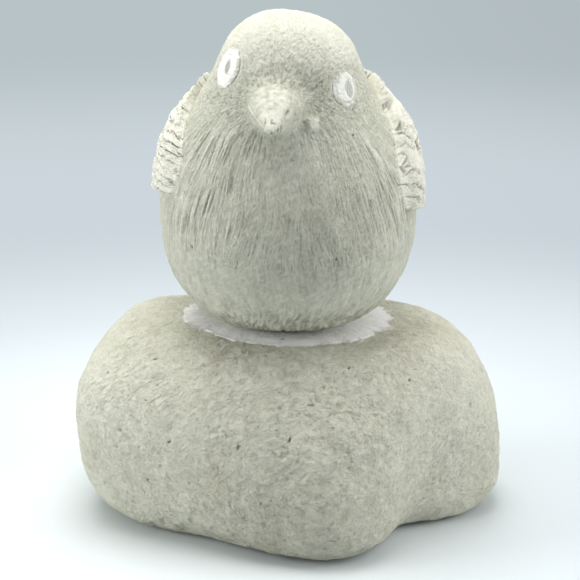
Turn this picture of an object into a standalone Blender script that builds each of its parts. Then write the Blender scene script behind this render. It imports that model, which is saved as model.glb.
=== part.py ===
"""Cast resin bird sitting on a boulder, built as the pieces that are cast, fitted and glued together.

The bird looks along -Y, +X is its left side, and Z is up. The origin is on the resting face, under the
middle of the bird. All lengths are metres.
"""

from math import cos, pi, radians, sin

import bmesh
import bpy
import numpy as np
from mathutils import Matrix, Vector

# Fits
CLEARANCE = 0.0003  # gap between two pieces that seat on each other

# Felt under the rock
FELT_THICKNESS = 0.0010
FELT_PROUD = 0.0005  # how far the felt stands below the rock
FELT_MARGIN = 0.0050  # rim of bare rock round the felt

# Rock: reach of its bulging waist from the origin, and how it closes in above and below
ROCK_REACH_RIGHT = 0.0554
ROCK_REACH_LEFT = 0.0547
ROCK_REACH_FRONT = 0.0450
ROCK_REACH_BACK = 0.0410
ROCK_PLAN_POWER = 2.4  # 2 is an ellipse, more is boxier
ROCK_WAIST_HEIGHT_RIGHT = 0.0080
ROCK_WAIST_HEIGHT_LEFT = 0.0235
ROCK_TOP_HEIGHT = 0.0499  # at its middle
ROCK_TOP_DROP_RIGHT = 0.0011  # from its middle to its right edge
ROCK_TOP_RISE_LEFT = 0.0007  # from its middle to its left edge
ROCK_SHOULDER_RIGHT = 0.0221  # width of the rounded shoulder between waist and top
ROCK_SHOULDER_LEFT = 0.0284
ROCK_SHOULDER_POWER = 2.15  # 2 is an elliptical shoulder, more is boxier
ROCK_UNDERCUT_RIGHT = 0.0072  # how far the foot is drawn in under the waist
ROCK_UNDERCUT_LEFT = 0.0114
ROCK_RIPPLE = 0.0005  # low swells over the whole surface
ROCK_RIPPLE_ROUND = (4.0, 3.0)  # how many of each set go round the rock
ROCK_RIPPLE_UP = (90.0, -130.0)  # radians for each metre of height
ROCK_SEGMENTS = 60
ROCK_RINGS = 26
ROCK_SHOULDER_SHARE = 0.62  # share of the mesh rings above the waist that the shoulder takes
ROCK_FOOT_SHARE = 0.70  # the same below the waist, for the undercut

# Valleys between the rock's lobes: bearing in degrees from +X, width in degrees,
# and how much of the reach they take away at the foot and at the top. A swell adds to it instead.
RIGHT_VALLEY = {"bearing": -36.5, "width": 22.4, "at_foot": 0.29, "at_top": 0.03}
LEFT_VALLEY = {"bearing": -131.0, "width": 28.9, "at_foot": 0.19, "at_top": 0.07}
BACK_VALLEY = {"bearing": 112.0, "width": 22.0, "at_foot": 0.12, "at_top": 0.04}
BACK_SWELL = {"bearing": 147.0, "width": 12.0, "at_foot": 0.0, "at_top": -0.13}
FRONT_SWELL = {"bearing": -80.0, "width": 16.0, "at_foot": -0.08, "at_top": 0.0}

# Torso, rump and head: three swelling forms that melt into each other
TORSO_HALF_WIDTH = 0.0312
TORSO_HALF_LENGTH = 0.0405
TORSO_HALF_DEPTH = 0.0312
BELLY_SINK = 0.0013  # how far the belly reaches below the rock's top
TORSO_POWER = 2.5
TORSO_PITCH = 5.0  # degrees, breast up
RUMP_BACK = 0.0300  # how far its middle lies behind the origin
RUMP_RISE = 0.0012  # of its middle, above the torso's middle
RUMP_HALF_WIDTH = 0.0195
RUMP_HALF_LENGTH = 0.0270
RUMP_HALF_DEPTH = 0.0150
HEAD_FORWARD = 0.0170
HEAD_RISE = 0.0300
HEAD_SIDE = 0.0003  # towards the bird's right
HEAD_HALF_WIDTH = 0.0171
HEAD_HALF_LENGTH = 0.0185
HEAD_HALF_DEPTH = 0.0180
HEAD_POWER = 2.38
HEAD_ROLL = 10.5  # degrees, the bird's right side up
HEAD_TURN = 4.0  # degrees towards the bird's right
NECK_BLEND = 0.0100  # how far the forms melt together
HEART_FORWARD = 0.0040  # a point inside the bird from which all of its skin can be seen
HEART_RISE = 0.0082
FIGURE_SEGMENTS = 56
FIGURE_RINGS = 36
SKIN_LONGEST_REACH = 0.0900
SKIN_HALVINGS = 40  # of the span in which the skin is looked for

# Beak
BEAK_LENGTH = 0.0155  # from its middle, inside the face, to its tip
BEAK_HALF_WIDTH = 0.0074
BEAK_HALF_DEPTH = 0.0063
BEAK_SINK = 0.0030  # of its middle, behind the front of the face
BEAK_DROP = 0.0014  # of its middle, below the head's middle
BEAK_SIDE = 0.0003  # of its middle, towards the bird's right
BEAK_POINTING = 12.0  # degrees below level
BEAK_HOOK = 0.0010  # how far the tip curls down
BEAK_PINCH = 0.24  # how much narrower than an egg it gets towards the tip
BEAK_SEGMENTS = 24
BEAK_RINGS = 16

# Eyes: a low dome with a slot for the pupil, set in a round socket
EYE_RADIUS = 0.0044
EYE_THICKNESS = 0.0024
EYE_CROWN = 0.0008  # how far the dome rises above its rim
EYE_BEARING = 47.0  # degrees out from straight ahead, seen from the head's middle
EYE_ELEVATION = 12.0  # degrees above level, seen from the head's middle
EYE_PROUD = 0.0002
EYE_SEGMENTS = 28
EYE_DOME_STEPS = 4
PUPIL_HALF_WIDTH = 0.0006
PUPIL_HALF_HEIGHT = 0.0016
PUPIL_DEPTH = 0.0005
PUPIL_SEGMENTS = 14
PUPIL_RINGS = 8

# Tail
TAIL_SINK = 0.0150  # of its root, ahead of the rump's end
TAIL_LENGTH = 0.0340
TAIL_ROOT_HALF_WIDTH = 0.0095
TAIL_TIP_HALF_WIDTH = 0.0130
TAIL_ROOT_THICKNESS = 0.0150
TAIL_TIP_THICKNESS = 0.0026
TAIL_RISE = 0.0012  # of its root, above the torso's middle
TAIL_THINNING = 0.6  # 1 thins it evenly from root to tip, less thins it sooner
TAIL_EDGE_THINNING = 0.40  # share of the thickness lost at its sides
TAIL_TIP_ROUNDING = 0.0054  # how much shorter it is at its sides
TAIL_SLOPE = 5.0  # degrees, the tip lower than the root
TAIL_CAMBER = 0.0022  # how far its sides droop
TAIL_FEATHERS = 6
TAIL_FEATHER_STEP = 0.0006
TAIL_LINES_PER_FEATHER = 4
TAIL_COLUMNS = 4

# Wings: a shell of overlapping feather rows that lies on the body
WING_FRONT_LOW = -0.0240  # where the front edge starts, at the lower corner
WING_FRONT_HIGH = -0.0110
WING_FRONT_BULGE = 0.0080  # how far the front edge swells forward between its corners
WING_TIP_SHORT = 0.0030  # how far its tip stops ahead of the rump's end
WING_LOW_ANGLE = {1.0: -7.0, -1.0: 1.0}  # degrees above level, seen along the bird, for its left and right
WING_HIGH_ANGLE = 76.0
WING_FRONT_LOW_CLOSING = 12.0  # degrees that the long edges close in by at the front
WING_FRONT_HIGH_CLOSING = 24.0
WING_TIP_LOW_RISE = 18.0
WING_TIP_HIGH_FALL = 40.0
WING_THICKNESS_LOW = {1.0: 0.0013, -1.0: 0.0010}  # for the bird's left and right
WING_THICKNESS_HIGH = {1.0: 0.0020, -1.0: 0.0014}
WING_FEATHER_ROWS = 6
WING_FEATHERS_ACROSS = 5
WING_FEATHER_STEP = 0.0006
WING_FEATHER_ROUNDING = 0.45  # share of a row's length
WING_RAY_SLANT = 1.3  # the rays that carry the wing meet the body at a slant
WING_COLUMNS = 38
WING_LINES = 12
PEG_RADIUS = 0.0020
PEG_DEPTH = 0.0040
PEG_INTO_WING = 0.0006  # how far it reaches past the wing's inner face
PEG_PLACES = (0.28, 0.62)  # shares of the wing's length
PEG_LINE = 0.45  # share of the wing's width, from its lower edge
PEG_SEGMENTS = 16

# Bedding of white filler between the bird and the rock
BED_HALF_WIDTH = 0.0250
BED_HALF_LENGTH = 0.0240
BED_DEPTH = 0.0029  # of its dish, below the rock's top
BED_RIM_PROUD = 0.0004  # how far its outer edge stands above the rock
BED_RISE = 0.0050  # how much higher its middle would be, were it not hollowed by the belly
BED_RISE_POWER = 1.5  # more keeps the rise nearer the middle
BED_SEGMENTS = 44
BED_RINGS = 12

# Steel dowels that hold the bird on the rock
DOWEL_RADIUS = 0.0020
DOWEL_LENGTH = 0.0300
DOWEL_INTO_ROCK = 0.0110  # below the bed
DOWEL_PLACES = {"front_dowel": -0.0080, "rear_dowel": 0.0120}

# Colours of the finishes
RESIN_COLOUR = (0.60, 0.60, 0.51, 1.0)
ROCK_COLOUR = (0.54, 0.54, 0.45, 1.0)
FILLER_COLOUR = (0.76, 0.76, 0.73, 1.0)
EYE_COLOUR = (0.90, 0.90, 0.86, 1.0)
STEEL_COLOUR = (0.60, 0.60, 0.60, 1.0)
FELT_COLOUR = (0.06, 0.07, 0.06, 1.0)

# Sizes that follow from the ones above
ROCK_FOOT_HEIGHT = FELT_PROUD
ROCK_TOP_HEIGHT_RIGHT = ROCK_TOP_HEIGHT - ROCK_TOP_DROP_RIGHT
ROCK_TOP_HEIGHT_LEFT = ROCK_TOP_HEIGHT + ROCK_TOP_RISE_LEFT
TORSO_HEIGHT = ROCK_TOP_HEIGHT - BELLY_SINK + TORSO_HALF_DEPTH
RUMP_END = RUMP_BACK + RUMP_HALF_LENGTH
HEAD_MIDDLE = (-HEAD_SIDE, -HEAD_FORWARD, TORSO_HEIGHT + HEAD_RISE)
FIGURE_HEART = (0.0, -HEART_FORWARD, TORSO_HEIGHT + HEART_RISE)
BEAK_FORWARD = HEAD_HALF_LENGTH - BEAK_SINK
TAIL_ROOT_BACK = RUMP_END - TAIL_SINK
WING_TIP = RUMP_END - WING_TIP_SHORT
WING_GAP = WING_RAY_SLANT * CLEARANCE
BED_BOTTOM = ROCK_TOP_HEIGHT - BED_DEPTH
DOWEL_BOTTOM = BED_BOTTOM - DOWEL_INTO_ROCK


def make_collection(name):
    collection = bpy.data.collections.new(name)
    bpy.context.scene.collection.children.link(collection)
    return collection


def clear_scene():
    for old in list(bpy.data.objects):
        bpy.data.objects.remove(old, do_unlink=True)


clear_scene()
PIECES = make_collection("bird_on_rock")
CUTTERS = make_collection("bird_on_rock_cutters")


def make_material(name, colour, roughness, metallic=0.0):
    material = bpy.data.materials.new(name)
    material.use_nodes = True
    shader = material.node_tree.nodes["Principled BSDF"]
    shader.inputs["Base Color"].default_value = colour
    shader.inputs["Roughness"].default_value = roughness
    shader.inputs["Metallic"].default_value = metallic
    material.diffuse_color = colour
    return material


def add_piece(name, bm, material):
    """Put a finished mesh into the model as one named piece, shaded smooth with its hard edges kept."""
    mesh = bpy.data.meshes.new(name)
    bm.to_mesh(mesh)
    bm.free()
    mesh.shade_smooth()
    mesh.set_sharp_from_angle(angle=radians(35))
    mesh.materials.append(material)
    piece = bpy.data.objects.new(name, mesh)
    PIECES.objects.link(piece)
    return piece


def add_cutter(name, bm):
    """Put a mesh among the cutters: it shapes other pieces and is not itself a piece."""
    mesh = bpy.data.meshes.new(name)
    bm.to_mesh(mesh)
    bm.free()
    cutter = bpy.data.objects.new(name, mesh)
    cutter.hide_render = True
    cutter.display_type = "WIRE"
    CUTTERS.objects.link(cutter)
    return cutter


def combine(piece, other, operation):
    modifier = piece.modifiers.new(f"{operation.lower()} {other.name}", "BOOLEAN")
    modifier.operation = operation
    modifier.solver = "EXACT"
    modifier.object = other


def smooth_step(value):
    value = np.clip(value, 0.0, 1.0)
    return value * value * (3.0 - 2.0 * value)


def vertex_array(bm):
    return np.array([vert.co for vert in bm.verts])


def move_vertices(bm, points):
    for vert, point in zip(bm.verts, points):
        vert.co = point


def cylinder_between(start, end, radius, segments=20):
    """A closed cylinder whose flat ends are centred on two points."""
    start = Vector(start)
    end = Vector(end)
    along = end - start
    turn = along.to_track_quat("Z", "Y").to_matrix().to_4x4()
    place = Matrix.Translation((start + end) / 2) @ turn
    bm = bmesh.new()
    bmesh.ops.create_cone(
        bm,
        cap_ends=True,
        segments=segments,
        radius1=radius,
        radius2=radius,
        depth=along.length,
        matrix=place,
    )
    return bm


# Rock


def between_sides(bearing, right, left):
    """A value that changes smoothly from the rock's right side to its left side."""
    mix = 0.5 - 0.5 * np.cos(bearing)
    return right + (left - right) * mix


def rock_reach(bearing, height):
    """Reach of the rock's waist at a bearing: a boxy oval with its valleys pressed in at a height."""
    along_x = np.where(np.cos(bearing) > 0, ROCK_REACH_RIGHT, ROCK_REACH_LEFT)
    along_y = np.where(np.sin(bearing) > 0, ROCK_REACH_BACK, ROCK_REACH_FRONT)
    share_x = np.abs(np.cos(bearing) / along_x) ** ROCK_PLAN_POWER
    share_y = np.abs(np.sin(bearing) / along_y) ** ROCK_PLAN_POWER
    reach = (share_x + share_y) ** (-1.0 / ROCK_PLAN_POWER)
    rise = smooth_step(height / ROCK_TOP_HEIGHT)
    for valley in (RIGHT_VALLEY, LEFT_VALLEY, BACK_VALLEY, BACK_SWELL, FRONT_SWELL):
        away = np.degrees(bearing) - valley["bearing"]
        away = (away + 180.0) % 360.0 - 180.0
        depth = valley["at_foot"] + (valley["at_top"] - valley["at_foot"]) * rise
        reach = reach * (1.0 - depth * np.exp(-((away / valley["width"]) ** 2)))
    return reach


def rock_points(unit):
    """Carry points of a unit sphere onto the rock.

    From the waist up they climb a rounded shoulder and then cross the flat top to its middle. From the
    waist down they follow a smaller quarter ellipse, the undercut, and then the flat foot.
    """
    latitude = np.arcsin(np.clip(unit[:, 2], -1.0, 1.0)) / (pi / 2)
    bearing = np.arctan2(unit[:, 1], unit[:, 0])
    upper = latitude > 0
    curved_share = np.where(upper, ROCK_SHOULDER_SHARE, ROCK_FOOT_SHARE)
    turn = np.clip(np.abs(latitude) / curved_share, 0.0, 1.0) * (pi / 2)
    inward = np.clip((np.abs(latitude) - curved_share) / (1.0 - curved_share), 0.0, 1.0)
    power = np.where(upper, 2.0 / ROCK_SHOULDER_POWER, 1.0)
    waist = between_sides(bearing, ROCK_WAIST_HEIGHT_RIGHT, ROCK_WAIST_HEIGHT_LEFT)
    undercut = between_sides(bearing, ROCK_UNDERCUT_RIGHT, ROCK_UNDERCUT_LEFT)
    shoulder = between_sides(bearing, ROCK_SHOULDER_RIGHT, ROCK_SHOULDER_LEFT)
    top = between_sides(bearing, ROCK_TOP_HEIGHT_RIGHT, ROCK_TOP_HEIGHT_LEFT)
    end_height = np.where(upper, top, ROCK_FOOT_HEIGHT)
    height = waist + (end_height - waist) * np.sin(turn) ** power
    drawn_in = np.where(upper, shoulder, undercut) * (1.0 - np.clip(np.cos(turn), 0.0, 1.0) ** power)
    edge = rock_reach(bearing, height) - drawn_in
    reach = edge * (1.0 - inward)
    first = np.sin(ROCK_RIPPLE_ROUND[0] * bearing + ROCK_RIPPLE_UP[0] * height)
    second = np.cos(ROCK_RIPPLE_ROUND[1] * bearing + ROCK_RIPPLE_UP[1] * height)
    reach = reach + ROCK_RIPPLE * first * second * (1.0 - inward)
    crown = (ROCK_TOP_HEIGHT - top) * (1.0 - (1.0 - inward) ** 2)
    height = height + np.where(upper, crown, 0.0)
    return np.stack([reach * np.cos(bearing), reach * np.sin(bearing), height], axis=1)


def rock_height(x, y):
    """Height of the rock's top surface over a place on it."""
    bearing = np.arctan2(y, x)
    waist = between_sides(bearing, ROCK_WAIST_HEIGHT_RIGHT, ROCK_WAIST_HEIGHT_LEFT)
    top = between_sides(bearing, ROCK_TOP_HEIGHT_RIGHT, ROCK_TOP_HEIGHT_LEFT)
    shoulder = between_sides(bearing, ROCK_SHOULDER_RIGHT, ROCK_SHOULDER_LEFT)
    edge = rock_reach(bearing, top) - shoulder
    beyond = np.clip((np.hypot(x, y) - edge) / shoulder, 0.0, 1.0)
    rise = (1.0 - beyond**ROCK_SHOULDER_POWER) ** (1.0 / ROCK_SHOULDER_POWER)
    inward = 1.0 - np.clip(np.hypot(x, y) / edge, 0.0, 1.0)
    crown = (ROCK_TOP_HEIGHT - top) * (1.0 - (1.0 - inward) ** 2)
    return waist + (top - waist) * rise + crown


def foot_outline(margin, count):
    """Points round the flat foot of the rock, drawn in by a margin."""
    bearing = np.linspace(0.0, 2.0 * pi, count, endpoint=False)
    undercut = between_sides(bearing, ROCK_UNDERCUT_RIGHT, ROCK_UNDERCUT_LEFT)
    reach = rock_reach(bearing, np.full(count, ROCK_FOOT_HEIGHT)) - undercut - margin
    return np.stack([reach * np.cos(bearing), reach * np.sin(bearing)], axis=1)


def foot_plate(margin, bottom, top):
    """A flat plate with the outline of the rock's foot."""
    outline = foot_outline(margin, ROCK_SEGMENTS)
    bm = bmesh.new()
    rim = [bm.verts.new((x, y, bottom)) for x, y in outline]
    face = bm.faces.new(rim)
    grown = bmesh.ops.extrude_face_region(bm, geom=[face])
    raised = [item for item in grown["geom"] if isinstance(item, bmesh.types.BMVert)]
    bmesh.ops.translate(bm, verts=raised, vec=(0.0, 0.0, top - bottom))
    bmesh.ops.recalc_face_normals(bm, faces=bm.faces)
    return bm


def make_rock(material):
    bm = bmesh.new()
    bmesh.ops.create_uvsphere(bm, u_segments=ROCK_SEGMENTS, v_segments=ROCK_RINGS, radius=1.0)
    move_vertices(bm, rock_points(vertex_array(bm)))
    rock = add_piece("rock_base", bm, material)
    combine(rock, add_cutter("bed_dish", bed_disc(CLEARANCE)), "DIFFERENCE")
    for name, back in DOWEL_PLACES.items():
        combine(rock, add_cutter(f"{name}_hole_in_rock", dowel_shape(back, CLEARANCE)), "DIFFERENCE")
    pocket = foot_plate(FELT_MARGIN - CLEARANCE, -FELT_PROUD, FELT_THICKNESS + CLEARANCE)
    combine(rock, add_cutter("felt_pocket", pocket), "DIFFERENCE")
    return rock


def make_felt(material):
    return add_piece("felt_base", foot_plate(FELT_MARGIN, 0.0, FELT_THICKNESS), material)


# Bird


def form_distance(points, middle, radii, power, pitch=0.0, roll=0.0, turn=0.0):
    """Rough distance from the skin of one swelling form, below zero inside it."""
    local = points - np.array(middle)
    x, y, z = local[:, 0], local[:, 1], local[:, 2]
    x, z = x * cos(roll) - z * sin(roll), x * sin(roll) + z * cos(roll)
    x, y = x * cos(turn) - y * sin(turn), x * sin(turn) + y * cos(turn)
    y, z = y * cos(pitch) + z * sin(pitch), z * cos(pitch) - y * sin(pitch)
    shares = np.abs(x / radii[0]) ** power
    shares = shares + np.abs(y / radii[1]) ** power
    shares = shares + np.abs(z / radii[2]) ** power
    return (shares ** (1.0 / power) - 1.0) * min(radii)


def melt(first, second, reach):
    """Join two distances so that the forms flow into each other over a reach."""
    mix = np.clip(0.5 + 0.5 * (second - first) / reach, 0.0, 1.0)
    return second * (1.0 - mix) + first * mix - reach * mix * (1.0 - mix)


def figure_distance(points):
    """Torso, rump and head melted into one skin."""
    torso = form_distance(
        points,
        (0.0, 0.0, TORSO_HEIGHT),
        (TORSO_HALF_WIDTH, TORSO_HALF_LENGTH, TORSO_HALF_DEPTH),
        TORSO_POWER,
        pitch=radians(-TORSO_PITCH),
    )
    rump = form_distance(
        points,
        (0.0, RUMP_BACK, TORSO_HEIGHT + RUMP_RISE),
        (RUMP_HALF_WIDTH, RUMP_HALF_LENGTH, RUMP_HALF_DEPTH),
        2.0,
    )
    head = form_distance(
        points,
        HEAD_MIDDLE,
        (HEAD_HALF_WIDTH, HEAD_HALF_LENGTH, HEAD_HALF_DEPTH),
        HEAD_POWER,
        roll=radians(HEAD_ROLL),
        turn=radians(HEAD_TURN),
    )
    return melt(melt(torso, rump, NECK_BLEND), head, NECK_BLEND)


def skin_reach(starts, directions):
    """How far each ray runs from its start, inside the bird, to the skin: the span is halved again and again."""
    near = np.zeros(len(starts))
    far = np.full(len(starts), SKIN_LONGEST_REACH)
    for _ in range(SKIN_HALVINGS):
        middle = (near + far) / 2.0
        inside = figure_distance(starts + directions * middle[:, None]) < 0.0
        near = np.where(inside, middle, near)
        far = np.where(inside, far, middle)
    return (near + far) / 2.0


def figure_skin():
    """The closed skin of the bird's torso, rump and head, from a sphere pushed out from its heart."""
    bm = bmesh.new()
    bmesh.ops.create_uvsphere(bm, u_segments=FIGURE_SEGMENTS, v_segments=FIGURE_RINGS, radius=1.0)
    directions = vertex_array(bm)
    directions /= np.linalg.norm(directions, axis=1)[:, None]
    starts = np.tile(np.array(FIGURE_HEART), (len(directions), 1))
    reach = skin_reach(starts, directions)
    move_vertices(bm, starts + directions * reach[:, None])
    return bm


def head_place():
    """The head's own frame: its middle, rolled to one side and turned a little."""
    roll = Matrix.Rotation(radians(HEAD_ROLL), 4, "Y")
    turn = Matrix.Rotation(radians(-HEAD_TURN), 4, "Z")
    return Matrix.Translation(HEAD_MIDDLE) @ roll @ turn


def beak_shape():
    """A short bill: a sphere drawn out forward, pinched towards the tip and hooked down."""
    bm = bmesh.new()
    poles_ahead = Matrix.Rotation(pi / 2, 4, "X")
    bmesh.ops.create_uvsphere(
        bm, u_segments=BEAK_SEGMENTS, v_segments=BEAK_RINGS, radius=1.0, matrix=poles_ahead
    )
    unit = vertex_array(bm)
    ahead = np.clip(-unit[:, 1], 0.0, 1.0)
    pinch = 1.0 - BEAK_PINCH * ahead
    x = unit[:, 0] * BEAK_HALF_WIDTH * pinch
    y = unit[:, 1] * BEAK_LENGTH
    z = unit[:, 2] * BEAK_HALF_DEPTH * pinch - BEAK_HOOK * ahead**2
    move_vertices(bm, np.stack([x, y, z], axis=1))
    aim = Matrix.Rotation(radians(BEAK_POINTING), 4, "X")
    seat = Matrix.Translation((-BEAK_SIDE, -BEAK_FORWARD, -BEAK_DROP))
    bmesh.ops.transform(bm, matrix=head_place() @ seat @ aim, verts=bm.verts)
    return bm


def tail_shape():
    """A short fan of feathers, thick at the root, each feather lapped a step above its outer neighbour."""
    bm = bmesh.new()
    bmesh.ops.create_cube(bm, size=1.0)
    across = [edge for edge in bm.edges if abs(edge.verts[0].co.x - edge.verts[1].co.x) > 0.5]
    bmesh.ops.subdivide_edges(bm, edges=across, cuts=TAIL_LINES_PER_FEATHER * TAIL_FEATHERS - 1, use_grid_fill=True)
    along = [edge for edge in bm.edges if abs(edge.verts[0].co.y - edge.verts[1].co.y) > 0.5]
    bmesh.ops.subdivide_edges(bm, edges=along, cuts=TAIL_COLUMNS - 1, use_grid_fill=True)
    unit = vertex_array(bm)
    back = unit[:, 1] + 0.5
    side = unit[:, 0] * 2.0
    half_width = TAIL_ROOT_HALF_WIDTH + (TAIL_TIP_HALF_WIDTH - TAIL_ROOT_HALF_WIDTH) * back
    feather = (np.abs(side) * TAIL_FEATHERS / 2.0) % 1.0
    step = np.where(unit[:, 2] > 0, TAIL_FEATHER_STEP * (1.0 - feather) * back, 0.0)
    thickness = TAIL_ROOT_THICKNESS + (TAIL_TIP_THICKNESS - TAIL_ROOT_THICKNESS) * back**TAIL_THINNING
    thickness = thickness * (1.0 - TAIL_EDGE_THINNING * side**2)
    middle = TORSO_HEIGHT + TAIL_RISE - np.tan(radians(TAIL_SLOPE)) * back * TAIL_LENGTH - TAIL_CAMBER * side**2
    y = TAIL_ROOT_BACK + back * TAIL_LENGTH - TAIL_TIP_ROUNDING * side**2 * back
    move_vertices(bm, np.stack([side * half_width, y, middle + unit[:, 2] * thickness + step], axis=1))
    return bm


def skin_normal(point):
    """Which way the skin faces at a point on it, from how its distance grows in each direction."""
    step = 1e-5
    shifts = np.eye(3) * step
    grown = figure_distance(np.array(point) + shifts) - figure_distance(np.array(point) - shifts)
    return Vector(grown).normalized()


def eye_place(side):
    """The eye's frame on the head: its origin is on the skin and local Z looks straight out."""
    bearing = radians(EYE_BEARING)
    elevation = radians(EYE_ELEVATION)
    look = Vector((side * sin(bearing) * cos(elevation), -cos(bearing) * cos(elevation), sin(elevation)))
    frame = head_place()
    start = frame.translation
    ray = (frame.to_3x3() @ look).normalized()
    reach = skin_reach(np.array([start]), np.array([ray]))[0]
    seat = start + ray * reach
    turn = skin_normal(seat).to_track_quat("Z", "Y").to_matrix().to_4x4()
    return Matrix.Translation(seat) @ turn


def turned_eye(radius, rim_height, crown_height, bottom):
    """A turned disc with a domed top: its outline runs down from the crown and is spun round Z."""
    bm = bmesh.new()
    outline = []
    for step in range(EYE_DOME_STEPS + 1):
        angle = (pi / 2) * step / EYE_DOME_STEPS
        outline.append((radius * sin(angle), rim_height + (crown_height - rim_height) * cos(angle)))
    outline.append((radius, bottom))
    outline.append((0.0, bottom))
    ring = [bm.verts.new((x, 0.0, z)) for x, z in outline]
    for upper, lower in zip(ring, ring[1:]):
        bm.edges.new((upper, lower))
    bmesh.ops.spin(
        bm,
        geom=list(bm.verts) + list(bm.edges),
        axis=(0, 0, 1),
        cent=(0, 0, 0),
        angle=2 * pi,
        steps=EYE_SEGMENTS,
        use_merge=True,
    )
    bmesh.ops.remove_doubles(bm, verts=bm.verts, dist=1e-6)
    bmesh.ops.recalc_face_normals(bm, faces=bm.faces)
    return bm


def make_eye(name, side, material):
    place = eye_place(side)
    bm = turned_eye(EYE_RADIUS, EYE_PROUD, EYE_PROUD + EYE_CROWN, EYE_PROUD - EYE_THICKNESS)
    bmesh.ops.transform(bm, matrix=place, verts=bm.verts)
    eye = add_piece(name, bm, material)
    pupil = bmesh.new()
    bmesh.ops.create_uvsphere(pupil, u_segments=PUPIL_SEGMENTS, v_segments=PUPIL_RINGS, radius=1.0)
    size = Matrix.Diagonal((PUPIL_HALF_WIDTH, PUPIL_HALF_HEIGHT, PUPIL_DEPTH, 1.0))
    at_crown = Matrix.Translation((0.0, 0.0, EYE_PROUD + EYE_CROWN))
    bmesh.ops.transform(pupil, matrix=place @ at_crown @ size, verts=pupil.verts)
    combine(eye, add_cutter(f"{name}_pupil", pupil), "DIFFERENCE")
    return eye


def eye_socket(side):
    """The round socket that an eye drops into, open to the front."""
    bottom = EYE_PROUD - EYE_THICKNESS - CLEARANCE
    bm = cylinder_between((0, 0, bottom), (0, 0, EYE_THICKNESS), EYE_RADIUS + CLEARANCE, EYE_SEGMENTS)
    bmesh.ops.transform(bm, matrix=eye_place(side), verts=bm.verts)
    return bm


def make_bird(material):
    bird = add_piece("bird_body", figure_skin(), material)
    combine(bird, add_cutter("tail_form", tail_shape()), "UNION")
    combine(bird, add_cutter("beak_form", beak_shape()), "UNION")
    for name, side in (("left", 1.0), ("right", -1.0)):
        combine(bird, add_cutter(f"{name}_eye_socket", eye_socket(side)), "DIFFERENCE")
        for number, share in enumerate(PEG_PLACES, start=1):
            socket = wing_peg(side, share, CLEARANCE)
            combine(bird, add_cutter(f"{name}_wing_socket_{number}", socket), "DIFFERENCE")
    for name, back in DOWEL_PLACES.items():
        combine(bird, add_cutter(f"{name}_hole_in_bird", dowel_shape(back, CLEARANCE)), "DIFFERENCE")
    return bird


# Wings


def wing_layout(along, across, side):
    """Skin point and outward ray for a place on the wing.

    along runs from the front edge to the tip and across from the lower edge to the upper one, both 0 to 1.
    The ray starts on the bird's long axis and turns from level towards straight up as across grows.
    """
    front = WING_FRONT_LOW + (WING_FRONT_HIGH - WING_FRONT_LOW) * across
    front = front - WING_FRONT_BULGE * np.sin(pi * across)
    back = front + (WING_TIP - front) * along
    closing = (1.0 - along) ** 3
    low = WING_LOW_ANGLE[side] + WING_FRONT_LOW_CLOSING * closing + WING_TIP_LOW_RISE * along**3
    high = WING_HIGH_ANGLE - WING_FRONT_HIGH_CLOSING * closing - WING_TIP_HIGH_FALL * along**3
    angle = np.radians(low + (high - low) * across)
    rays = np.stack([side * np.cos(angle), np.zeros_like(angle), np.sin(angle)], axis=1)
    starts = np.stack([np.zeros_like(back), back, np.full_like(back, TORSO_HEIGHT)], axis=1)
    return starts, rays, skin_reach(starts, rays)


def feather_relief(along, across):
    """Saw-toothed rows: each feather lifts towards its rounded end, then drops to the row behind."""
    lane = across * WING_FEATHERS_ACROSS
    rounding = WING_FEATHER_ROUNDING * np.abs(np.sin(pi * lane))
    row = (along * WING_FEATHER_ROWS + rounding) % 1.0
    return WING_FEATHER_STEP * row


def wing_shell(side):
    """The wing: a feathered outer sheet and a plain inner one that follows the body, joined at the rim."""
    along, across = np.meshgrid(
        np.linspace(0.0, 1.0, WING_COLUMNS + 1), np.linspace(0.0, 1.0, WING_LINES + 1), indexing="ij"
    )
    along = along.ravel()
    across = across.ravel()
    starts, rays, reach = wing_layout(along, across, side)
    thickness = WING_THICKNESS_LOW[side] * (1.0 - across) + WING_THICKNESS_HIGH[side] * across
    inner = reach + WING_GAP
    outer = inner + thickness + feather_relief(along, across)
    bm = bmesh.new()
    sheets = []
    for distance in (inner, outer):
        points = starts + rays * distance[:, None]
        verts = [bm.verts.new(point) for point in points]
        for column in range(WING_COLUMNS):
            for line in range(WING_LINES):
                corner = column * (WING_LINES + 1) + line
                quad = (corner, corner + 1, corner + WING_LINES + 2, corner + WING_LINES + 1)
                bm.faces.new([verts[index] for index in quad])
        sheets.append(verts)
    rim = [edge for edge in bm.edges if edge.is_boundary]
    bmesh.ops.bridge_loops(bm, edges=rim)
    bmesh.ops.recalc_face_normals(bm, faces=bm.faces)
    return bm


def wing_peg(side, share, spare):
    """A peg from inside the wing's shell down into the body, or with spare room round it its socket."""
    along = np.array([share])
    across = np.array([PEG_LINE])
    starts, rays, reach = wing_layout(along, across, side)
    deep = starts[0] + rays[0] * (reach[0] - PEG_DEPTH - spare)
    proud = starts[0] + rays[0] * (reach[0] + WING_GAP + PEG_INTO_WING)
    return cylinder_between(deep, proud, PEG_RADIUS + spare, PEG_SEGMENTS)


def make_wing(name, side, material):
    wing = add_piece(name, wing_shell(side), material)
    for number, share in enumerate(PEG_PLACES, start=1):
        combine(wing, add_cutter(f"{name}_peg_{number}", wing_peg(side, share, 0.0)), "UNION")
    return wing


# Bedding and dowels


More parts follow.
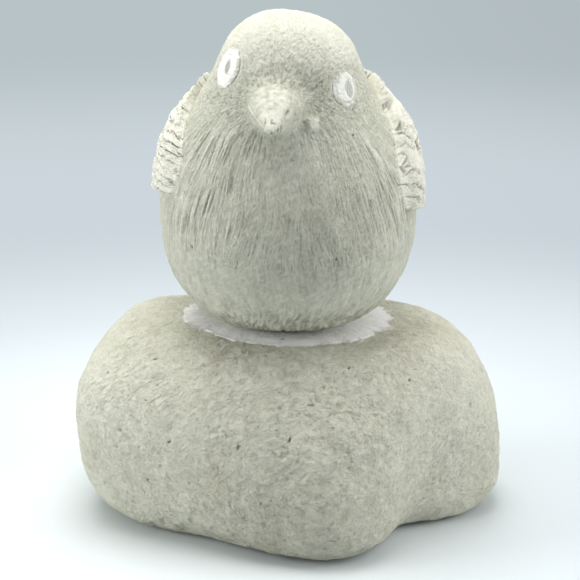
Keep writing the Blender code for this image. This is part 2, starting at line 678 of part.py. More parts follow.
def bed_disc(spare):
    """An upright oval drum over the bed's outline, with spare room round and below it."""
    top = ROCK_TOP_HEIGHT + BED_RISE
    bm = cylinder_between((0.0, 0.0, BED_BOTTOM - spare), (0.0, 0.0, top), 1.0, BED_SEGMENTS)
    size = Matrix.Diagonal((BED_HALF_WIDTH + spare, BED_HALF_LENGTH + spare, 1.0, 1.0))
    bmesh.ops.transform(bm, matrix=size, verts=bm.verts)
    return bm


def make_bed(material):
    """Filler spread in the dish: it lies a little proud of the rock, rises inward and is hollowed by the belly."""
    bm = bmesh.new()
    bmesh.ops.create_uvsphere(bm, u_segments=BED_SEGMENTS, v_segments=BED_RINGS, radius=1.0)
    unit = vertex_array(bm)
    level = np.clip(np.hypot(unit[:, 0], unit[:, 1]), 0.0, 1.0)
    x = unit[:, 0] * BED_HALF_WIDTH
    y = unit[:, 1] * BED_HALF_LENGTH
    top = rock_height(x, y) + BED_RIM_PROUD + BED_RISE * (1.0 - level) ** BED_RISE_POWER
    z = np.where(unit[:, 2] > -1e-6, top, BED_BOTTOM)
    move_vertices(bm, np.stack([x, y, z], axis=1))
    bed = add_piece("bedding_ring", bm, material)
    skin = add_cutter("belly_form", figure_skin())
    swell = skin.modifiers.new("clearance", "DISPLACE")
    swell.mid_level = 0.0
    swell.strength = CLEARANCE
    combine(bed, skin, "DIFFERENCE")
    for name, back in DOWEL_PLACES.items():
        combine(bed, add_cutter(f"{name}_hole_in_bed", dowel_shape(back, CLEARANCE)), "DIFFERENCE")
    return bed


def dowel_shape(back, spare):
    start = (0.0, back, DOWEL_BOTTOM - spare)
    end = (0.0, back, DOWEL_BOTTOM + DOWEL_LENGTH + spare)
    return cylinder_between(start, end, DOWEL_RADIUS + spare)


def make_dowels(material):
    for name, back in DOWEL_PLACES.items():
        add_piece(name, dowel_shape(back, 0.0), material)


def main():
    resin = make_material("bird_resin", RESIN_COLOUR, 0.75)
    rock = make_material("rock_resin", ROCK_COLOUR, 0.80)
    filler = make_material("white_filler", FILLER_COLOUR, 0.85)
    eye = make_material("eye_white", EYE_COLOUR, 0.60)
    steel = make_material("dowel_steel", STEEL_COLOUR, 0.35, 1.0)
    felt = make_material("base_felt", FELT_COLOUR, 0.95)
    make_felt(felt)
    make_rock(rock)
    make_dowels(steel)
    make_bed(filler)
    make_bird(resin)
    make_wing("left_wing", 1.0, resin)
    make_wing("right_wing", -1.0, resin)
    make_eye("left_eye", 1.0, eye)
    make_eye("right_eye", -1.0, eye)


main()
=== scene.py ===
"""Looks of a cast resin bird on a boulder: every piece that shows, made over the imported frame.

The bird looks along -Y, +X is its left side and Z is up. All lengths are metres.
"""

from math import cos, pi, radians, sin
from types import SimpleNamespace

import bpy
import numpy as np
from bpy.props import FloatProperty, FloatVectorProperty, PointerProperty
from bpy.types import Operator, Panel, PropertyGroup
from mathutils import Matrix, Vector


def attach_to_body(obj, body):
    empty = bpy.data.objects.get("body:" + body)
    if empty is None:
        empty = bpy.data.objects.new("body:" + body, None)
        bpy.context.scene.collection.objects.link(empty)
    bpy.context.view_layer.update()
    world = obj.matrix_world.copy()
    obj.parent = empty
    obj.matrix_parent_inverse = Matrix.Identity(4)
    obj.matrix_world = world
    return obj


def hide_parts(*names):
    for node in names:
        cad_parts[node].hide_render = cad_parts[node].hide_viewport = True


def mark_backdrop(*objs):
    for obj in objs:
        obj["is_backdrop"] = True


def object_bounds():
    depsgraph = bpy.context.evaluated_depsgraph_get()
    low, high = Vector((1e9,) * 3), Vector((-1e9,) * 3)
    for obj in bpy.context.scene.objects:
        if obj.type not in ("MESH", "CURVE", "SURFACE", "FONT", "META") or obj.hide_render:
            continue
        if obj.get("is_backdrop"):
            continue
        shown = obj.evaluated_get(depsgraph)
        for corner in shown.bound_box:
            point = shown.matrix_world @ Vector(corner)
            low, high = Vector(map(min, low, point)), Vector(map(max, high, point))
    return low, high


bl_info = {
    "name": "Resin bird figurine",
    "version": (1, 0, 0),
    "blender": (4, 5, 0),
    "location": "3D View > Sidebar > Bird",
    "description": "Builds the plumage, boulder, eyes and filler of a cast resin bird",
    "category": "Add Mesh",
}

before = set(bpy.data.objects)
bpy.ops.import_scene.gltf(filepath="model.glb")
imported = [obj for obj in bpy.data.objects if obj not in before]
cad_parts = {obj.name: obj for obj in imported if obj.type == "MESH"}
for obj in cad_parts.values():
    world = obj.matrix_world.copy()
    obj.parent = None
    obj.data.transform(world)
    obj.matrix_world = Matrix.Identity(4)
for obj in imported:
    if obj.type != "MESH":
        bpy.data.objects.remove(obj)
CAD_LOW, CAD_HIGH = (np.array(corner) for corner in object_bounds())

# Rock, with the solid model's own sizes. Its right and left are the viewer's
ROCK_REACH_RIGHT = 0.0554
ROCK_REACH_LEFT = 0.0547
ROCK_REACH_FRONT = 0.0450
ROCK_REACH_BACK = 0.0410
ROCK_PLAN_POWER = 2.4
ROCK_WAIST_HEIGHT_RIGHT = 0.0080
ROCK_WAIST_HEIGHT_LEFT = 0.0235
ROCK_FOOT_HEIGHT = 0.0005
ROCK_TOP_HEIGHT = 0.0499
ROCK_TOP_HEIGHT_RIGHT = 0.0488
ROCK_TOP_HEIGHT_LEFT = 0.0506
ROCK_SHOULDER_RIGHT = 0.0221
ROCK_SHOULDER_LEFT = 0.0284
ROCK_SHOULDER_POWER = 2.15
ROCK_UNDERCUT_RIGHT = 0.0072
ROCK_UNDERCUT_LEFT = 0.0114
RIGHT_VALLEY = {"bearing": -36.5, "width": 22.4, "at_foot": 0.29, "at_top": 0.03}
LEFT_VALLEY = {"bearing": -131.0, "width": 28.9, "at_foot": 0.19, "at_top": 0.07}
BACK_VALLEY = {"bearing": 112.0, "width": 22.0, "at_foot": 0.12, "at_top": 0.04}
BACK_SWELL = {"bearing": 147.0, "width": 12.0, "at_foot": 0.0, "at_top": -0.13}
FRONT_SWELL = {"bearing": -80.0, "width": 16.0, "at_foot": -0.08, "at_top": 0.0}

# Bird's forms, with the solid model's own sizes
TORSO_MIDDLE = (0.0, 0.0, 0.0798)
TORSO_RADII = (0.0312, 0.0405, 0.0312)
TORSO_POWER = 2.5
TORSO_PITCH = 5.0
RUMP_MIDDLE = (0.0, 0.0300, 0.0810)
RUMP_RADII = (0.0195, 0.0270, 0.0150)
HEAD_MIDDLE = (-0.0003, -0.0170, 0.1098)
HEAD_RADII = (0.0171, 0.0185, 0.0180)
HEAD_POWER = 2.38
HEAD_ROLL = 10.5
HEAD_TURN = 4.0
NECK_BLEND = 0.0100
FIGURE_HEART = (0.0, -0.0040, 0.0880)
SKIN_LONGEST_REACH = 0.0900
SKIN_HALVINGS = 24
SKIN_CUBE_TILT = 20.0
BEAK_SIZES = {"length": 0.0155, "half_width": 0.0074, "half_depth": 0.0063}
BEAK_SEAT = (-0.0003, -0.0155, -0.0014)
BEAK_POINTING = 12.0
BEAK_HOOK = 0.0010
BEAK_PINCH = 0.24
BEAK_TIP_PINCH = 0.46
BEAK_TIP_PINCH_POWER = 2.2
BEAK_FILLET = 0.0022
BEAK_FILLET_PASSES = 6
EYE_HALF_WIDTH = 0.0041
EYE_HALF_UP = {1.0: 0.0043, -1.0: 0.0051}
EYE_HALF_DOWN = {1.0: 0.0037, -1.0: 0.0051}
EYE_OUTLINE_POWER = 1.75
EYE_BEARING = 47.0
EYE_ELEVATION = 12.0
TAIL_ROOT_BACK = 0.0420
TAIL_LENGTH = 0.0340
TAIL_HALF_WIDTHS = (0.0095, 0.0130)
TAIL_THICKNESSES = (0.0150, 0.0026)
TAIL_ROOT_HEIGHT = 0.0810
TAIL_THINNING = 0.6
TAIL_EDGE_THINNING = 0.40
TAIL_TIP_ROUNDING = 0.0054
TAIL_SLOPE = 5.0
TAIL_CAMBER = 0.0022
TAIL_SECTION_POWER = 0.65
WING_FRONT_LOW = -0.0240
WING_FRONT_HIGH = -0.0110
WING_FRONT_BULGE = 0.0080
WING_TIP = 0.0540
WING_LOW_ANGLE = {1.0: -7.0, -1.0: 1.0}
WING_HIGH_ANGLE = 76.0
WING_FRONT_LOW_CLOSING = 12.0
WING_FRONT_HIGH_CLOSING = 24.0
WING_TIP_LOW_RISE = 18.0
WING_TIP_HIGH_FALL = 40.0
WING_THICKNESS_LOW = {1.0: 0.0013, -1.0: 0.0010}
WING_THICKNESS_HIGH = {1.0: 0.0020, -1.0: 0.0014}
BED_HALF_WIDTH = 0.0250
BED_HALF_LENGTH = 0.0240
FELT_MARGIN = 0.0050
FELT_THICKNESS = 0.0010

# Mesh steps
FINENESS = 1.0
SKIN_FRONT_STEPS = int(230 * FINENESS)
SKIN_SIDE_STEPS = int(230 * FINENESS)
SKIN_FAR_STEPS = int(160 * FINENESS)
ROCK_ROWS = int(310 * FINENESS)
ROCK_FRONT_COLUMNS = int(300 * FINENESS)
ROCK_BACK_COLUMNS = int(170 * FINENESS)
WING_COLUMNS = int(330 * FINENESS)
WING_LINES = int(200 * FINENESS)
BEAK_GRID = (int(150 * FINENESS), int(170 * FINENESS))
TAIL_GRID = (int(170 * FINENESS), int(220 * FINENESS))
EYE_GRID = (int(96 * FINENESS), int(200 * FINENESS))
BEDDING_GRID = (int(80 * FINENESS), int(620 * FINENESS))
FELT_AROUND = 720
FLOOR_AROUND = 96
SHARP_FROM = radians(75.0)

# Small steps that slopes are measured over: metres on the skin, radians and climb on the rock
NORMAL_STEP = 0.00001
ROCK_SLOPE_STEP = 0.0001

# Stage: the camera's aim, the floor's reach and the lamps, by the name of their setting
CAMERA_AIM = (0.0005, 0.0, 0.0565)
CAMERA_NEAREST = 0.01
FLOOR_REACH = 4.0
LAMP_SIZE = 0.45
LAMP_AIM = (0.0, 0.0, 0.06)
LAMPS = {
    "top": (-0.06, 0.02, 0.54),
    "left": (-0.80, -0.16, 0.26),
    "right": (0.80, -0.16, 0.26),
    "high_right": (0.50, -0.16, 0.55),
    "back": (0.10, 0.75, 0.45),
}

# Table of random numbers from -1 to 1 that every noise reads
GRAIN_SIDE = 64
GRAIN_TABLE = np.random.default_rng(11).random(GRAIN_SIDE**3, dtype=np.float32) * 2.0 - 1.0
SEED_SHIFT = 7.31
CHANCE_STRIDE = 911


# Arrays


def clamped(value):
    return np.clip(value, 0.0, 1.0)


def smooth_step(value):
    value = clamped(value)
    return value * value * (3.0 - 2.0 * value)


def ramp(value, start, end):
    """0 before the start and 1 beyond the end, eased between them. The end may be the lesser."""
    return smooth_step((value - start) / (end - start))


def ridge(away, half_width, power=2):
    """A bell curve, 1 at its middle. A greater even power flattens its top."""
    return np.exp(-((away / half_width) ** power))


def boxed(value, power):
    """A value from -1 to 1, pushed towards its ends by a power below one."""
    return np.sign(value) * np.abs(value) ** power


def round_turn(count):
    """Bearings of that many points, once round."""
    return np.linspace(0.0, 2.0 * pi, count, endpoint=False)


def every_pair(first, second):
    """Each of the first values with each of the second, as two flat arrays."""
    return [values.ravel() for values in np.meshgrid(first, second, indexing="ij")]


def placed(points, place):
    """Points carried along by a placing matrix."""
    place = np.array(place)
    return points @ place[:3, :3].T + place[:3, 3]


def unit(vectors):
    return vectors / np.linalg.norm(vectors, axis=-1, keepdims=True)


def grain(points, size, seed):
    """Smooth noise from -1 to 1: random numbers on a lattice of that size, blended across each cell."""
    place = (points / size + seed * SEED_SHIFT).astype(np.float32)
    floor = np.floor(place)
    part = (place - floor) ** 2 * (3.0 - 2.0 * (place - floor))
    cell = floor.astype(np.int32)
    x0, y0, z0 = (cell % GRAIN_SIDE).T
    x1, y1, z1 = ((cell + 1) % GRAIN_SIDE).T

    def blend_up(x, y):
        start = (x * GRAIN_SIDE + y) * GRAIN_SIDE
        low = GRAIN_TABLE[start + z0]
        return low + (GRAIN_TABLE[start + z1] - low) * part[:, 2]

    near = blend_up(x0, y0)
    near = near + (blend_up(x0, y1) - near) * part[:, 1]
    far = blend_up(x1, y0)
    far = far + (blend_up(x1, y1) - far) * part[:, 1]
    return near + (far - near) * part[:, 0]


def layered(points, layers):
    """Noises added up: each layer holds its share, the size of its blobs and a seed."""
    return sum(share * grain(points, size, seed) for share, size, seed in layers)


def stained(points, size, seed, contrast=1.4):
    """Blotches of stain, 0 to 1."""
    return smooth_step(grain(points, size, seed) * contrast - 0.5)


def cell_chances(home, seed, count):
    """Random numbers from -1 to 1 that belong to a cell of space, always the same for it."""
    x, y, z = ((home + seed) % GRAIN_SIDE).T
    start = (x * GRAIN_SIDE + y) * GRAIN_SIDE + z
    return [GRAIN_TABLE[(start + CHANCE_STRIDE * number) % GRAIN_SIDE**3] for number in range(count)]


def strokes(points, spacing, length, width, seed, slant=(0.8, 0.6), spread=0.5):
    """Short straight marks, from -1 to 1: one in each cell of space, cut in where below zero.

    Each is the bell curve of a point's distance from a short line. Its place, direction and sign are
    the cell's own random numbers, and the direction keeps near the slant by the spread.
    """
    total = np.zeros(len(points), np.float32)
    cell = np.floor(points / spacing).astype(np.int32)
    for step in np.ndindex(3, 3, 3):
        home = cell + np.array(step, np.int32) - 1
        chance = cell_chances(home, seed, 6)
        centre = (home + 0.5 + 0.5 * np.stack(chance[:3], axis=1)) * spacing
        angle = np.arctan2(slant[1], slant[0]) + pi * spread * chance[3]
        across = np.where(points[:, 1] > 0.0, -1.0, 1.0)
        way = np.stack([np.cos(angle) * across, 0.3 * chance[4], np.sin(angle)], axis=1)
        away = points - centre
        along = np.sum(away * way, axis=1)
        off = np.linalg.norm(away - way * along[:, None], axis=1)
        mark = np.exp(-((off / width) ** 2) - (along / (length * (0.6 + 0.4 * chance[4]))) ** 4)
        total += mark * np.sign(chance[5]) * (0.5 + 0.5 * np.abs(chance[5]))
    return np.clip(total, -1.0, 1.0)


def chips(points, size, seed):
    """Flat chips, from -1 to 1, that each tip their own way.

    A point belongs to the nearest of the random middles, one to a cell of space. Its height is the way
    from that middle, along the middle's own random direction.
    """
    cell = np.floor(points / size).astype(np.int32)
    least = np.full(len(points), 9.0)
    height = np.zeros(len(points))
    for step in np.ndindex(3, 3, 3):
        home = cell + np.array(step, np.int32) - 1
        chance = np.stack(cell_chances(home, seed, 6), axis=1)
        away = points / size - home - 0.5 - 0.4 * chance[:, :3]
        far = np.sum(away**2, axis=1)
        nearer = far < least
        least = np.where(nearer, far, least)
        height = np.where(nearer, np.sum(away * chance[:, 3:], axis=1), height)
    return np.clip(height, -1.0, 1.0)


def spots(points, spacing, radius, seed):
    """Small round marks, 0 to 1: at most one in each cell of space, at a random place in it."""
    cell = np.floor(points / spacing).astype(np.int32)
    centre = (cell + 0.5 + 0.25 * np.stack(cell_chances(cell, seed, 3), axis=1)) * spacing
    away = np.linalg.norm(points - centre, axis=1)
    return 1.0 - smooth_step(away / radius)


def bell(points, centre, radius):
    """A soft round patch, 1 at its centre."""
    away = np.linalg.norm(points - np.array(centre), axis=1)
    return ridge(away, radius)


def tints(hollow, chalk, stain):
    """The marks that a piece's colours follow, each held from 0 to 1. The dark one is painted shade in cuts,
    pits and shaded places, besides a few dark marks of the piece's own; the pale one is chalky filler, eye
    white and smears together with painted highlights on raised relief and lit places; the third tints towards
    the stain colour.
    """
    return {"hollow": clamped(hollow), "chalk": clamped(chalk), "stain": clamped(stain)}


# Meshes


def grid_quads(columns, lines):
    """Corner indices of the cells of a grid of columns by lines points."""
    corner = np.arange(columns * lines).reshape(columns, lines)
    cell = [corner[:-1, :-1], corner[1:, :-1], corner[1:, 1:], corner[:-1, 1:]]
    return np.stack(cell, axis=-1).reshape(-1, 4)


def mesh_piece(name, points, quads, triangles, marks, material):
    """A smooth mesh held inside the solid model's box, with its marks kept as numbers on its points."""
    mesh = bpy.data.meshes.new(name)
    mesh.vertices.add(len(points))
    mesh.vertices.foreach_set("co", np.clip(points, CAD_LOW, CAD_HIGH).astype(np.float32).ravel())
    corners = np.concatenate([quads.ravel(), triangles.ravel()]).astype(np.int32)
    starts = np.concatenate([np.arange(len(quads)) * 4, len(quads) * 4 + np.arange(len(triangles)) * 3])
    mesh.loops.add(len(corners))
    mesh.loops.foreach_set("vertex_index", corners)
    mesh.polygons.add(len(starts))
    mesh.polygons.foreach_set("loop_start", starts.astype(np.int32))
    mesh.update(calc_edges=True)
    mesh.shade_smooth()
    mesh.set_sharp_from_angle(angle=SHARP_FROM)
    for label, values in marks.items():
        padded = np.zeros(len(points), np.float32)
        padded[: len(values)] = values
        mesh.attributes.new(label, "FLOAT", "POINT").data.foreach_set("value", padded)
    mesh.materials.append(material)
    piece = bpy.data.objects.new(name, mesh)
    bpy.context.scene.collection.objects.link(piece)
    return piece


def capped_sheet(name, points, shape, apex, marks, material):
    """A sheet of columns by lines points, closed underneath by a fan from its rim to a point inside."""
    columns, lines = shape
    corner = np.arange(columns * lines).reshape(columns, lines)
    rim = np.concatenate([corner[:-1, 0], corner[-1, :-1], corner[:0:-1, -1], corner[0, :0:-1]])
    tip = np.full(len(rim), columns * lines)
    fan = np.stack([np.roll(rim, -1), rim, tip], axis=1)
    whole = np.concatenate([points, [apex]])
    return mesh_piece(name, whole, grid_quads(columns, lines), fan, marks, material)


def wrapped_sheet(name, points, shape, marks, material, turned=False):
    """Rings of points closed round, and closed at both ends by a fan to the middle of the end ring.

    Going round a ring and then on to the next one turns outwards, or inwards where it is turned.
    """
    rings, around = shape
    ring = np.arange(rings * around).reshape(rings, around)
    if turned:
        ring = ring[:, ::-1]
    after = np.roll(ring, -1, axis=1)
    quads = np.stack([ring[:-1], after[:-1], after[1:], ring[1:]], axis=-1).reshape(-1, 4)
    first = np.stack([after[0], ring[0], np.full(around, rings * around)], axis=1)
    last = np.stack([ring[-1], after[-1], np.full(around, rings * around + 1)], axis=1)
    grid = points.reshape(rings, around, 3)
    ends = np.stack([grid[0].mean(axis=0), grid[-1].mean(axis=0)])
    marks = {label: np.append(values, [values[0], values[-1]]) for label, values in marks.items()}
    fans = np.concatenate([first, last])
    return mesh_piece(name, np.concatenate([points, ends]), quads, fans, marks, material)


# Rock


def between_sides(bearing, right, left):
    mix = 0.5 - 0.5 * np.cos(bearing)
    return right + (left - right) * mix


def rock_reach(bearing, height):
    """Reach of the rock's waist: a boxy oval, with its valleys pressed in as bell curves of bearing."""
    along_x = np.where(np.cos(bearing) > 0, ROCK_REACH_RIGHT, ROCK_REACH_LEFT)
    along_y = np.where(np.sin(bearing) > 0, ROCK_REACH_BACK, ROCK_REACH_FRONT)
    share_x = np.abs(np.cos(bearing) / along_x) ** ROCK_PLAN_POWER
    share_y = np.abs(np.sin(bearing) / along_y) ** ROCK_PLAN_POWER
    reach = (share_x + share_y) ** (-1.0 / ROCK_PLAN_POWER)
    rise = smooth_step(height / ROCK_TOP_HEIGHT)
    for valley in (RIGHT_VALLEY, LEFT_VALLEY, BACK_VALLEY, BACK_SWELL, FRONT_SWELL):
        away = (np.degrees(bearing) - valley["bearing"] + 180.0) % 360.0 - 180.0
        depth = valley["at_foot"] + (valley["at_top"] - valley["at_foot"]) * rise
        reach = reach * (1.0 - depth * ridge(away, valley["width"]))
    return reach


def rock_surface(bearing, climb):
    """The rock's skin for a bearing and a climb.

    Climbs of -2 to -1 cross the foot, -1 to 0 is the undercut, 0 to 1 the shoulder and 1 to 2 the top.
    Undercut and shoulder are quarters of an oval.
    """
    upper = climb > 0
    turn = clamped(np.abs(climb)) * (pi / 2)
    inward = clamped(np.abs(climb) - 1.0)
    power = np.where(upper, 2.0 / ROCK_SHOULDER_POWER, 1.0)
    waist = between_sides(bearing, ROCK_WAIST_HEIGHT_RIGHT, ROCK_WAIST_HEIGHT_LEFT)
    undercut = between_sides(bearing, ROCK_UNDERCUT_RIGHT, ROCK_UNDERCUT_LEFT)
    shoulder = between_sides(bearing, ROCK_SHOULDER_RIGHT, ROCK_SHOULDER_LEFT)
    top = between_sides(bearing, ROCK_TOP_HEIGHT_RIGHT, ROCK_TOP_HEIGHT_LEFT)
    end_height = np.where(upper, top, ROCK_FOOT_HEIGHT)
    height = waist + (end_height - waist) * np.sin(turn) ** power
    drawn_in = np.where(upper, shoulder, undercut) * (1.0 - clamped(np.cos(turn)) ** power)
    reach = (rock_reach(bearing, height) - drawn_in) * (1.0 - inward)
    crown = (ROCK_TOP_HEIGHT - top) * (1.0 - (1.0 - inward) ** 2)
    height = height + np.where(upper, crown, 0.0)
    return np.stack([reach * np.cos(bearing), reach * np.sin(bearing), height], axis=-1)


def rock_height(x, y):
    """Height of the rock's top over a place on it: the same shoulder and crown as its skin."""
    bearing = np.arctan2(y, x)
    waist = between_sides(bearing, ROCK_WAIST_HEIGHT_RIGHT, ROCK_WAIST_HEIGHT_LEFT)
    top = between_sides(bearing, ROCK_TOP_HEIGHT_RIGHT, ROCK_TOP_HEIGHT_LEFT)
    shoulder = between_sides(bearing, ROCK_SHOULDER_RIGHT, ROCK_SHOULDER_LEFT)
    edge = rock_reach(bearing, top) - shoulder
    beyond = clamped((np.hypot(x, y) - edge) / shoulder)
    rise = (1.0 - beyond**ROCK_SHOULDER_POWER) ** (1.0 / ROCK_SHOULDER_POWER)
    inward = 1.0 - clamped(np.hypot(x, y) / edge)
    return waist + (top - waist) * rise + (ROCK_TOP_HEIGHT - top) * (1.0 - (1.0 - inward) ** 2)


# Rock's noises: share, size of the blobs and seed. Its chips are shaken along X, Y and Z, in metres
ROCK_LUMPS = ((0.6, 0.0120, 1), (0.4, 0.0058, 2))
ROCK_PATS = ((0.55, 0.0028, 3), (0.45, 0.0014, 4))
ROCK_ROUGH_PLACES = ((1.4, 0.0160, 12),)
ROCK_SHAKING = ((0.0009, 0.0021, 26), (0.0009, 0.0021, 27), (0.0009, 0.0021, 28))

# Rock's chips, scratches, slits and pits
ROCK_PLANES = {"size": 0.0034, "seed": 17}
ROCK_SMALL_PLANES = {"size": 0.0019, "seed": 18}
ROCK_SMALL_PLANE_SQUEEZE = (0.8, 1.0, 1.4)
ROCK_FINE = {"spacing": 0.0019, "length": 0.0010, "width": 0.00022, "seed": 5}
ROCK_BROAD = {"spacing": 0.0043, "length": 0.0022, "width": 0.00038, "seed": 15}
ROCK_BROAD_WAY = {"slant": (0.9, 0.35), "spread": 0.35}
ROCK_SLITS = {"spacing": 0.0064, "length": 0.0013, "width": 0.00024, "seed": 21}
ROCK_SLIT_WAY = {"slant": (1.0, -0.3), "spread": 0.8}
ROCK_PITS = {"spacing": 0.0080, "radius": 0.0004, "seed": 25}

# Rock's patches of colour: middle and radius, or a band's start and end. The pink and warm patches are
# stains; the two side patches are painted highlights where the light falls on the rock's left and right, and
# the band low in the front middle is painted shade.
ROCK_PINK = ((-0.0170, -0.0370, 0.0200), 0.0055)
ROCK_WARM = ((0.0330, -0.0060, 0.0480), 0.0130)
ROCK_LIT_LEFT = ((-0.0460, -0.0200, 0.0340), 0.0210)
ROCK_LIT_RIGHT = ((0.0400, -0.0200, 0.0430), 0.0190)
ROCK_SHADE_HALF_WIDTH = 0.030
ROCK_SHADE_FORWARD = (0.0, -0.0200)
ROCK_SHADE_DOWN = (0.0360, 0.0100)

# Chalk smeared off the filler, in front of it: share, place and half width across, height and half height
ROCK_SMEARS = ((1.0, -0.0117, 0.0040, 0.0450, 0.0022), (0.6, 0.0050, 0.0110, 0.0462, 0.0022))

# Sections of the rock's climb: both ends and the share of the rows. Below the foot's climb nothing stands out
ROCK_LAST_CLIMB = 1.60
ROCK_CLIMBS = ((-1.35, -1.0, 0.06), (-1.0, 0.0, 0.20), (0.0, 1.0, 0.54), (1.0, ROCK_LAST_CLIMB, 0.20))
ROCK_FOOT_CLIMB = -0.9


def rock_cuts(points):
    """Every kind of cut in the rock's skin, on its own scale."""
    shaken = points + np.stack([layered(points, [layer]) for layer in ROCK_SHAKING], axis=1)
    return SimpleNamespace(
        lumps=layered(points, ROCK_LUMPS),
        pats=layered(points, ROCK_PATS),
        rough=smooth_step(layered(points, ROCK_ROUGH_PLACES) + 0.62),
        planes=chips(shaken, **ROCK_PLANES),
        small_planes=chips(shaken * np.array(ROCK_SMALL_PLANE_SQUEEZE), **ROCK_SMALL_PLANES),
        fine=strokes(points, **ROCK_FINE),
        broad=strokes(points, **ROCK_BROAD, **ROCK_BROAD_WAY),
        slits=clamped(-strokes(points, **ROCK_SLITS, **ROCK_SLIT_WAY)),
        pits=spots(points, **ROCK_PITS),
    )


def rock_relief(cuts, look):
    """Heights above the rock's smooth form."""
    planes = 0.7 * cuts.planes * cuts.rough + cuts.small_planes * (0.4 + 0.6 * cuts.rough)
    scratches = cuts.fine * (0.35 + 0.65 * cuts.rough) + 0.9 * cuts.broad * cuts.rough
    height = look.lump_depth * (cuts.lumps - 0.4) + look.plane_depth * (planes - 0.4)
    height = height + look.pat_depth * cuts.pats + look.scratch_depth * scratches
    return height - look.scratch_depth * (3.0 * cuts.slits + 2.5 * cuts.pits)


def rock_tints(points, cuts):
    """Painted shade low in front, painted highlights on the shoulders, chalky smears near the filler and
    stains, over the painted shade and highlights of the cuts.
    """
    x, y, z = points.T
    smeared = [
        share * ridge(x - across, half_width) * ridge(z - up, half_height)
        for share, across, half_width, up, half_height in ROCK_SMEARS
    ]
    chalky = sum(smeared) * np.where(y < 0.0, 1.3, 0.0) * smooth_step(0.5 + 1.4 * grain(points, 0.0010, 16))
    # Painted shade, strongest low in the front middle where the rock turns down, with a little over the whole
    # rock.
    middle = ridge(x, ROCK_SHADE_HALF_WIDTH) * ramp(y, *ROCK_SHADE_FORWARD)
    painted_shade = (0.03 + 0.43 * middle) * (0.55 + 0.45 * ramp(z, *ROCK_SHADE_DOWN))
    # Painted shade down in the scratches, slits and pits, and painted highlights on the raised scratches,
    # pats and planes.
    dark = 0.46 * clamped(-cuts.fine) + 1.6 * cuts.slits + 1.5 * cuts.pits
    dark = dark - 0.10 * cuts.pats - 0.14 * cuts.small_planes
    light = (0.9 * cuts.fine + 0.8 * cuts.broad) * (0.4 + 0.6 * cuts.rough)
    light = light + 0.25 * cuts.pats + 0.35 * cuts.small_planes + chalky
    # Painted highlights on the left and right shoulders, where the side lights fall.
    light = light + 0.55 * (bell(points, *ROCK_LIT_LEFT) + bell(points, *ROCK_LIT_RIGHT))
    stain = 0.6 * stained(points, 0.0110, 8, 1.6) + bell(points, *ROCK_PINK) + 0.9 * bell(points, *ROCK_WARM)
    return tints(dark + painted_shade, light, stain)


def make_rock_part(name, from_bearing, to_bearing, columns, look, material):
    """One upright wedge of the rock, as a grid of bearing by climb, closed inwards to the rock's heart."""
    climb = np.concatenate(
        [
            np.linspace(low, high, int(ROCK_ROWS * share), endpoint=high == ROCK_LAST_CLIMB)
            for low, high, share in ROCK_CLIMBS
        ]
    )
    bearing = np.radians(np.linspace(from_bearing, to_bearing, columns + 1))
    bearings, climbs = every_pair(bearing, climb)
    points = rock_surface(bearings, climbs)
    step = ROCK_SLOPE_STEP
    along = rock_surface(bearings + step, climbs) - rock_surface(bearings - step, climbs)
    up = rock_surface(bearings, climbs + step) - rock_surface(bearings, climbs - step)
    outward = unit(np.cross(along, up))
    cuts = rock_cuts(points)
    height = rock_relief(cuts, look)
    height = np.where(climbs < ROCK_FOOT_CLIMB, np.minimum(height, 0.0), height)
    moved = points + outward * height[:, None]
    heart = (0.0, 0.0, ROCK_TOP_HEIGHT / 2)
    return capped_sheet(name, moved, (len(bearing), len(climb)), heart, rock_tints(points, cuts), material)


# Bird's skin


def form_distance(points, middle, radii, power, pitch=0.0, roll=0.0, turn=0.0):
    """Rough distance from a swelling form: its superellipse's size less one, times its least radius."""
    x, y, z = (points - np.array(middle)).T
    x, z = x * cos(roll) - z * sin(roll), x * sin(roll) + z * cos(roll)
    x, y = x * cos(turn) - y * sin(turn), x * sin(turn) + y * cos(turn)
    y, z = y * cos(pitch) + z * sin(pitch), z * cos(pitch) - y * sin(pitch)
    shares = np.abs(x / radii[0]) ** power + np.abs(y / radii[1]) ** power + np.abs(z / radii[2]) ** power
    return (shares ** (1.0 / power) - 1.0) * min(radii)


def melt(first, second, reach):
    """The lesser of two distances, with a smooth bend of that reach where they cross."""
    mix = clamped(0.5 + 0.5 * (second - first) / reach)
    return second * (1.0 - mix) + first * mix - reach * mix * (1.0 - mix)


def figure_distance(points):
    """Torso, rump and head melted into one skin, below zero inside it."""
    torso = form_distance(points, TORSO_MIDDLE, TORSO_RADII, TORSO_POWER, pitch=radians(-TORSO_PITCH))
    rump = form_distance(points, RUMP_MIDDLE, RUMP_RADII, 2.0)
    turn = {"roll": radians(HEAD_ROLL), "turn": radians(HEAD_TURN)}
    head = form_distance(points, HEAD_MIDDLE, HEAD_RADII, HEAD_POWER, **turn)
    return melt(melt(torso, rump, NECK_BLEND), head, NECK_BLEND)


def skin_reach(starts, rays):
    """How far each ray runs to the skin: the span that holds it is halved again and again."""
    near = np.zeros(len(starts))
    far = np.full(len(starts), SKIN_LONGEST_REACH)
    for _ in range(SKIN_HALVINGS):
        middle = (near + far) / 2.0
        inside = figure_distance(starts + rays * middle[:, None]) < 0.0
        near = np.where(inside, middle, near)
        far = np.where(inside, far, middle)
    return (near + far) / 2.0


def on_skin(start, rays):
    """Where rays from one start meet the skin."""
    starts = np.tile(np.array(start), (len(rays), 1))
    return starts + rays * skin_reach(starts, rays)[:, None]


def skin_normals(points):
    """Which way the skin faces: how its distance grows along each axis."""
    here = figure_distance(points)
    grown = [figure_distance(points + axis * NORMAL_STEP) - here for axis in np.eye(3)]
    return unit(np.stack(grown, axis=1))


def head_place():
    roll = Matrix.Rotation(radians(HEAD_ROLL), 4, "Y")
    turn = Matrix.Rotation(radians(-HEAD_TURN), 4, "Z")
    return Matrix.Translation(HEAD_MIDDLE) @ roll @ turn


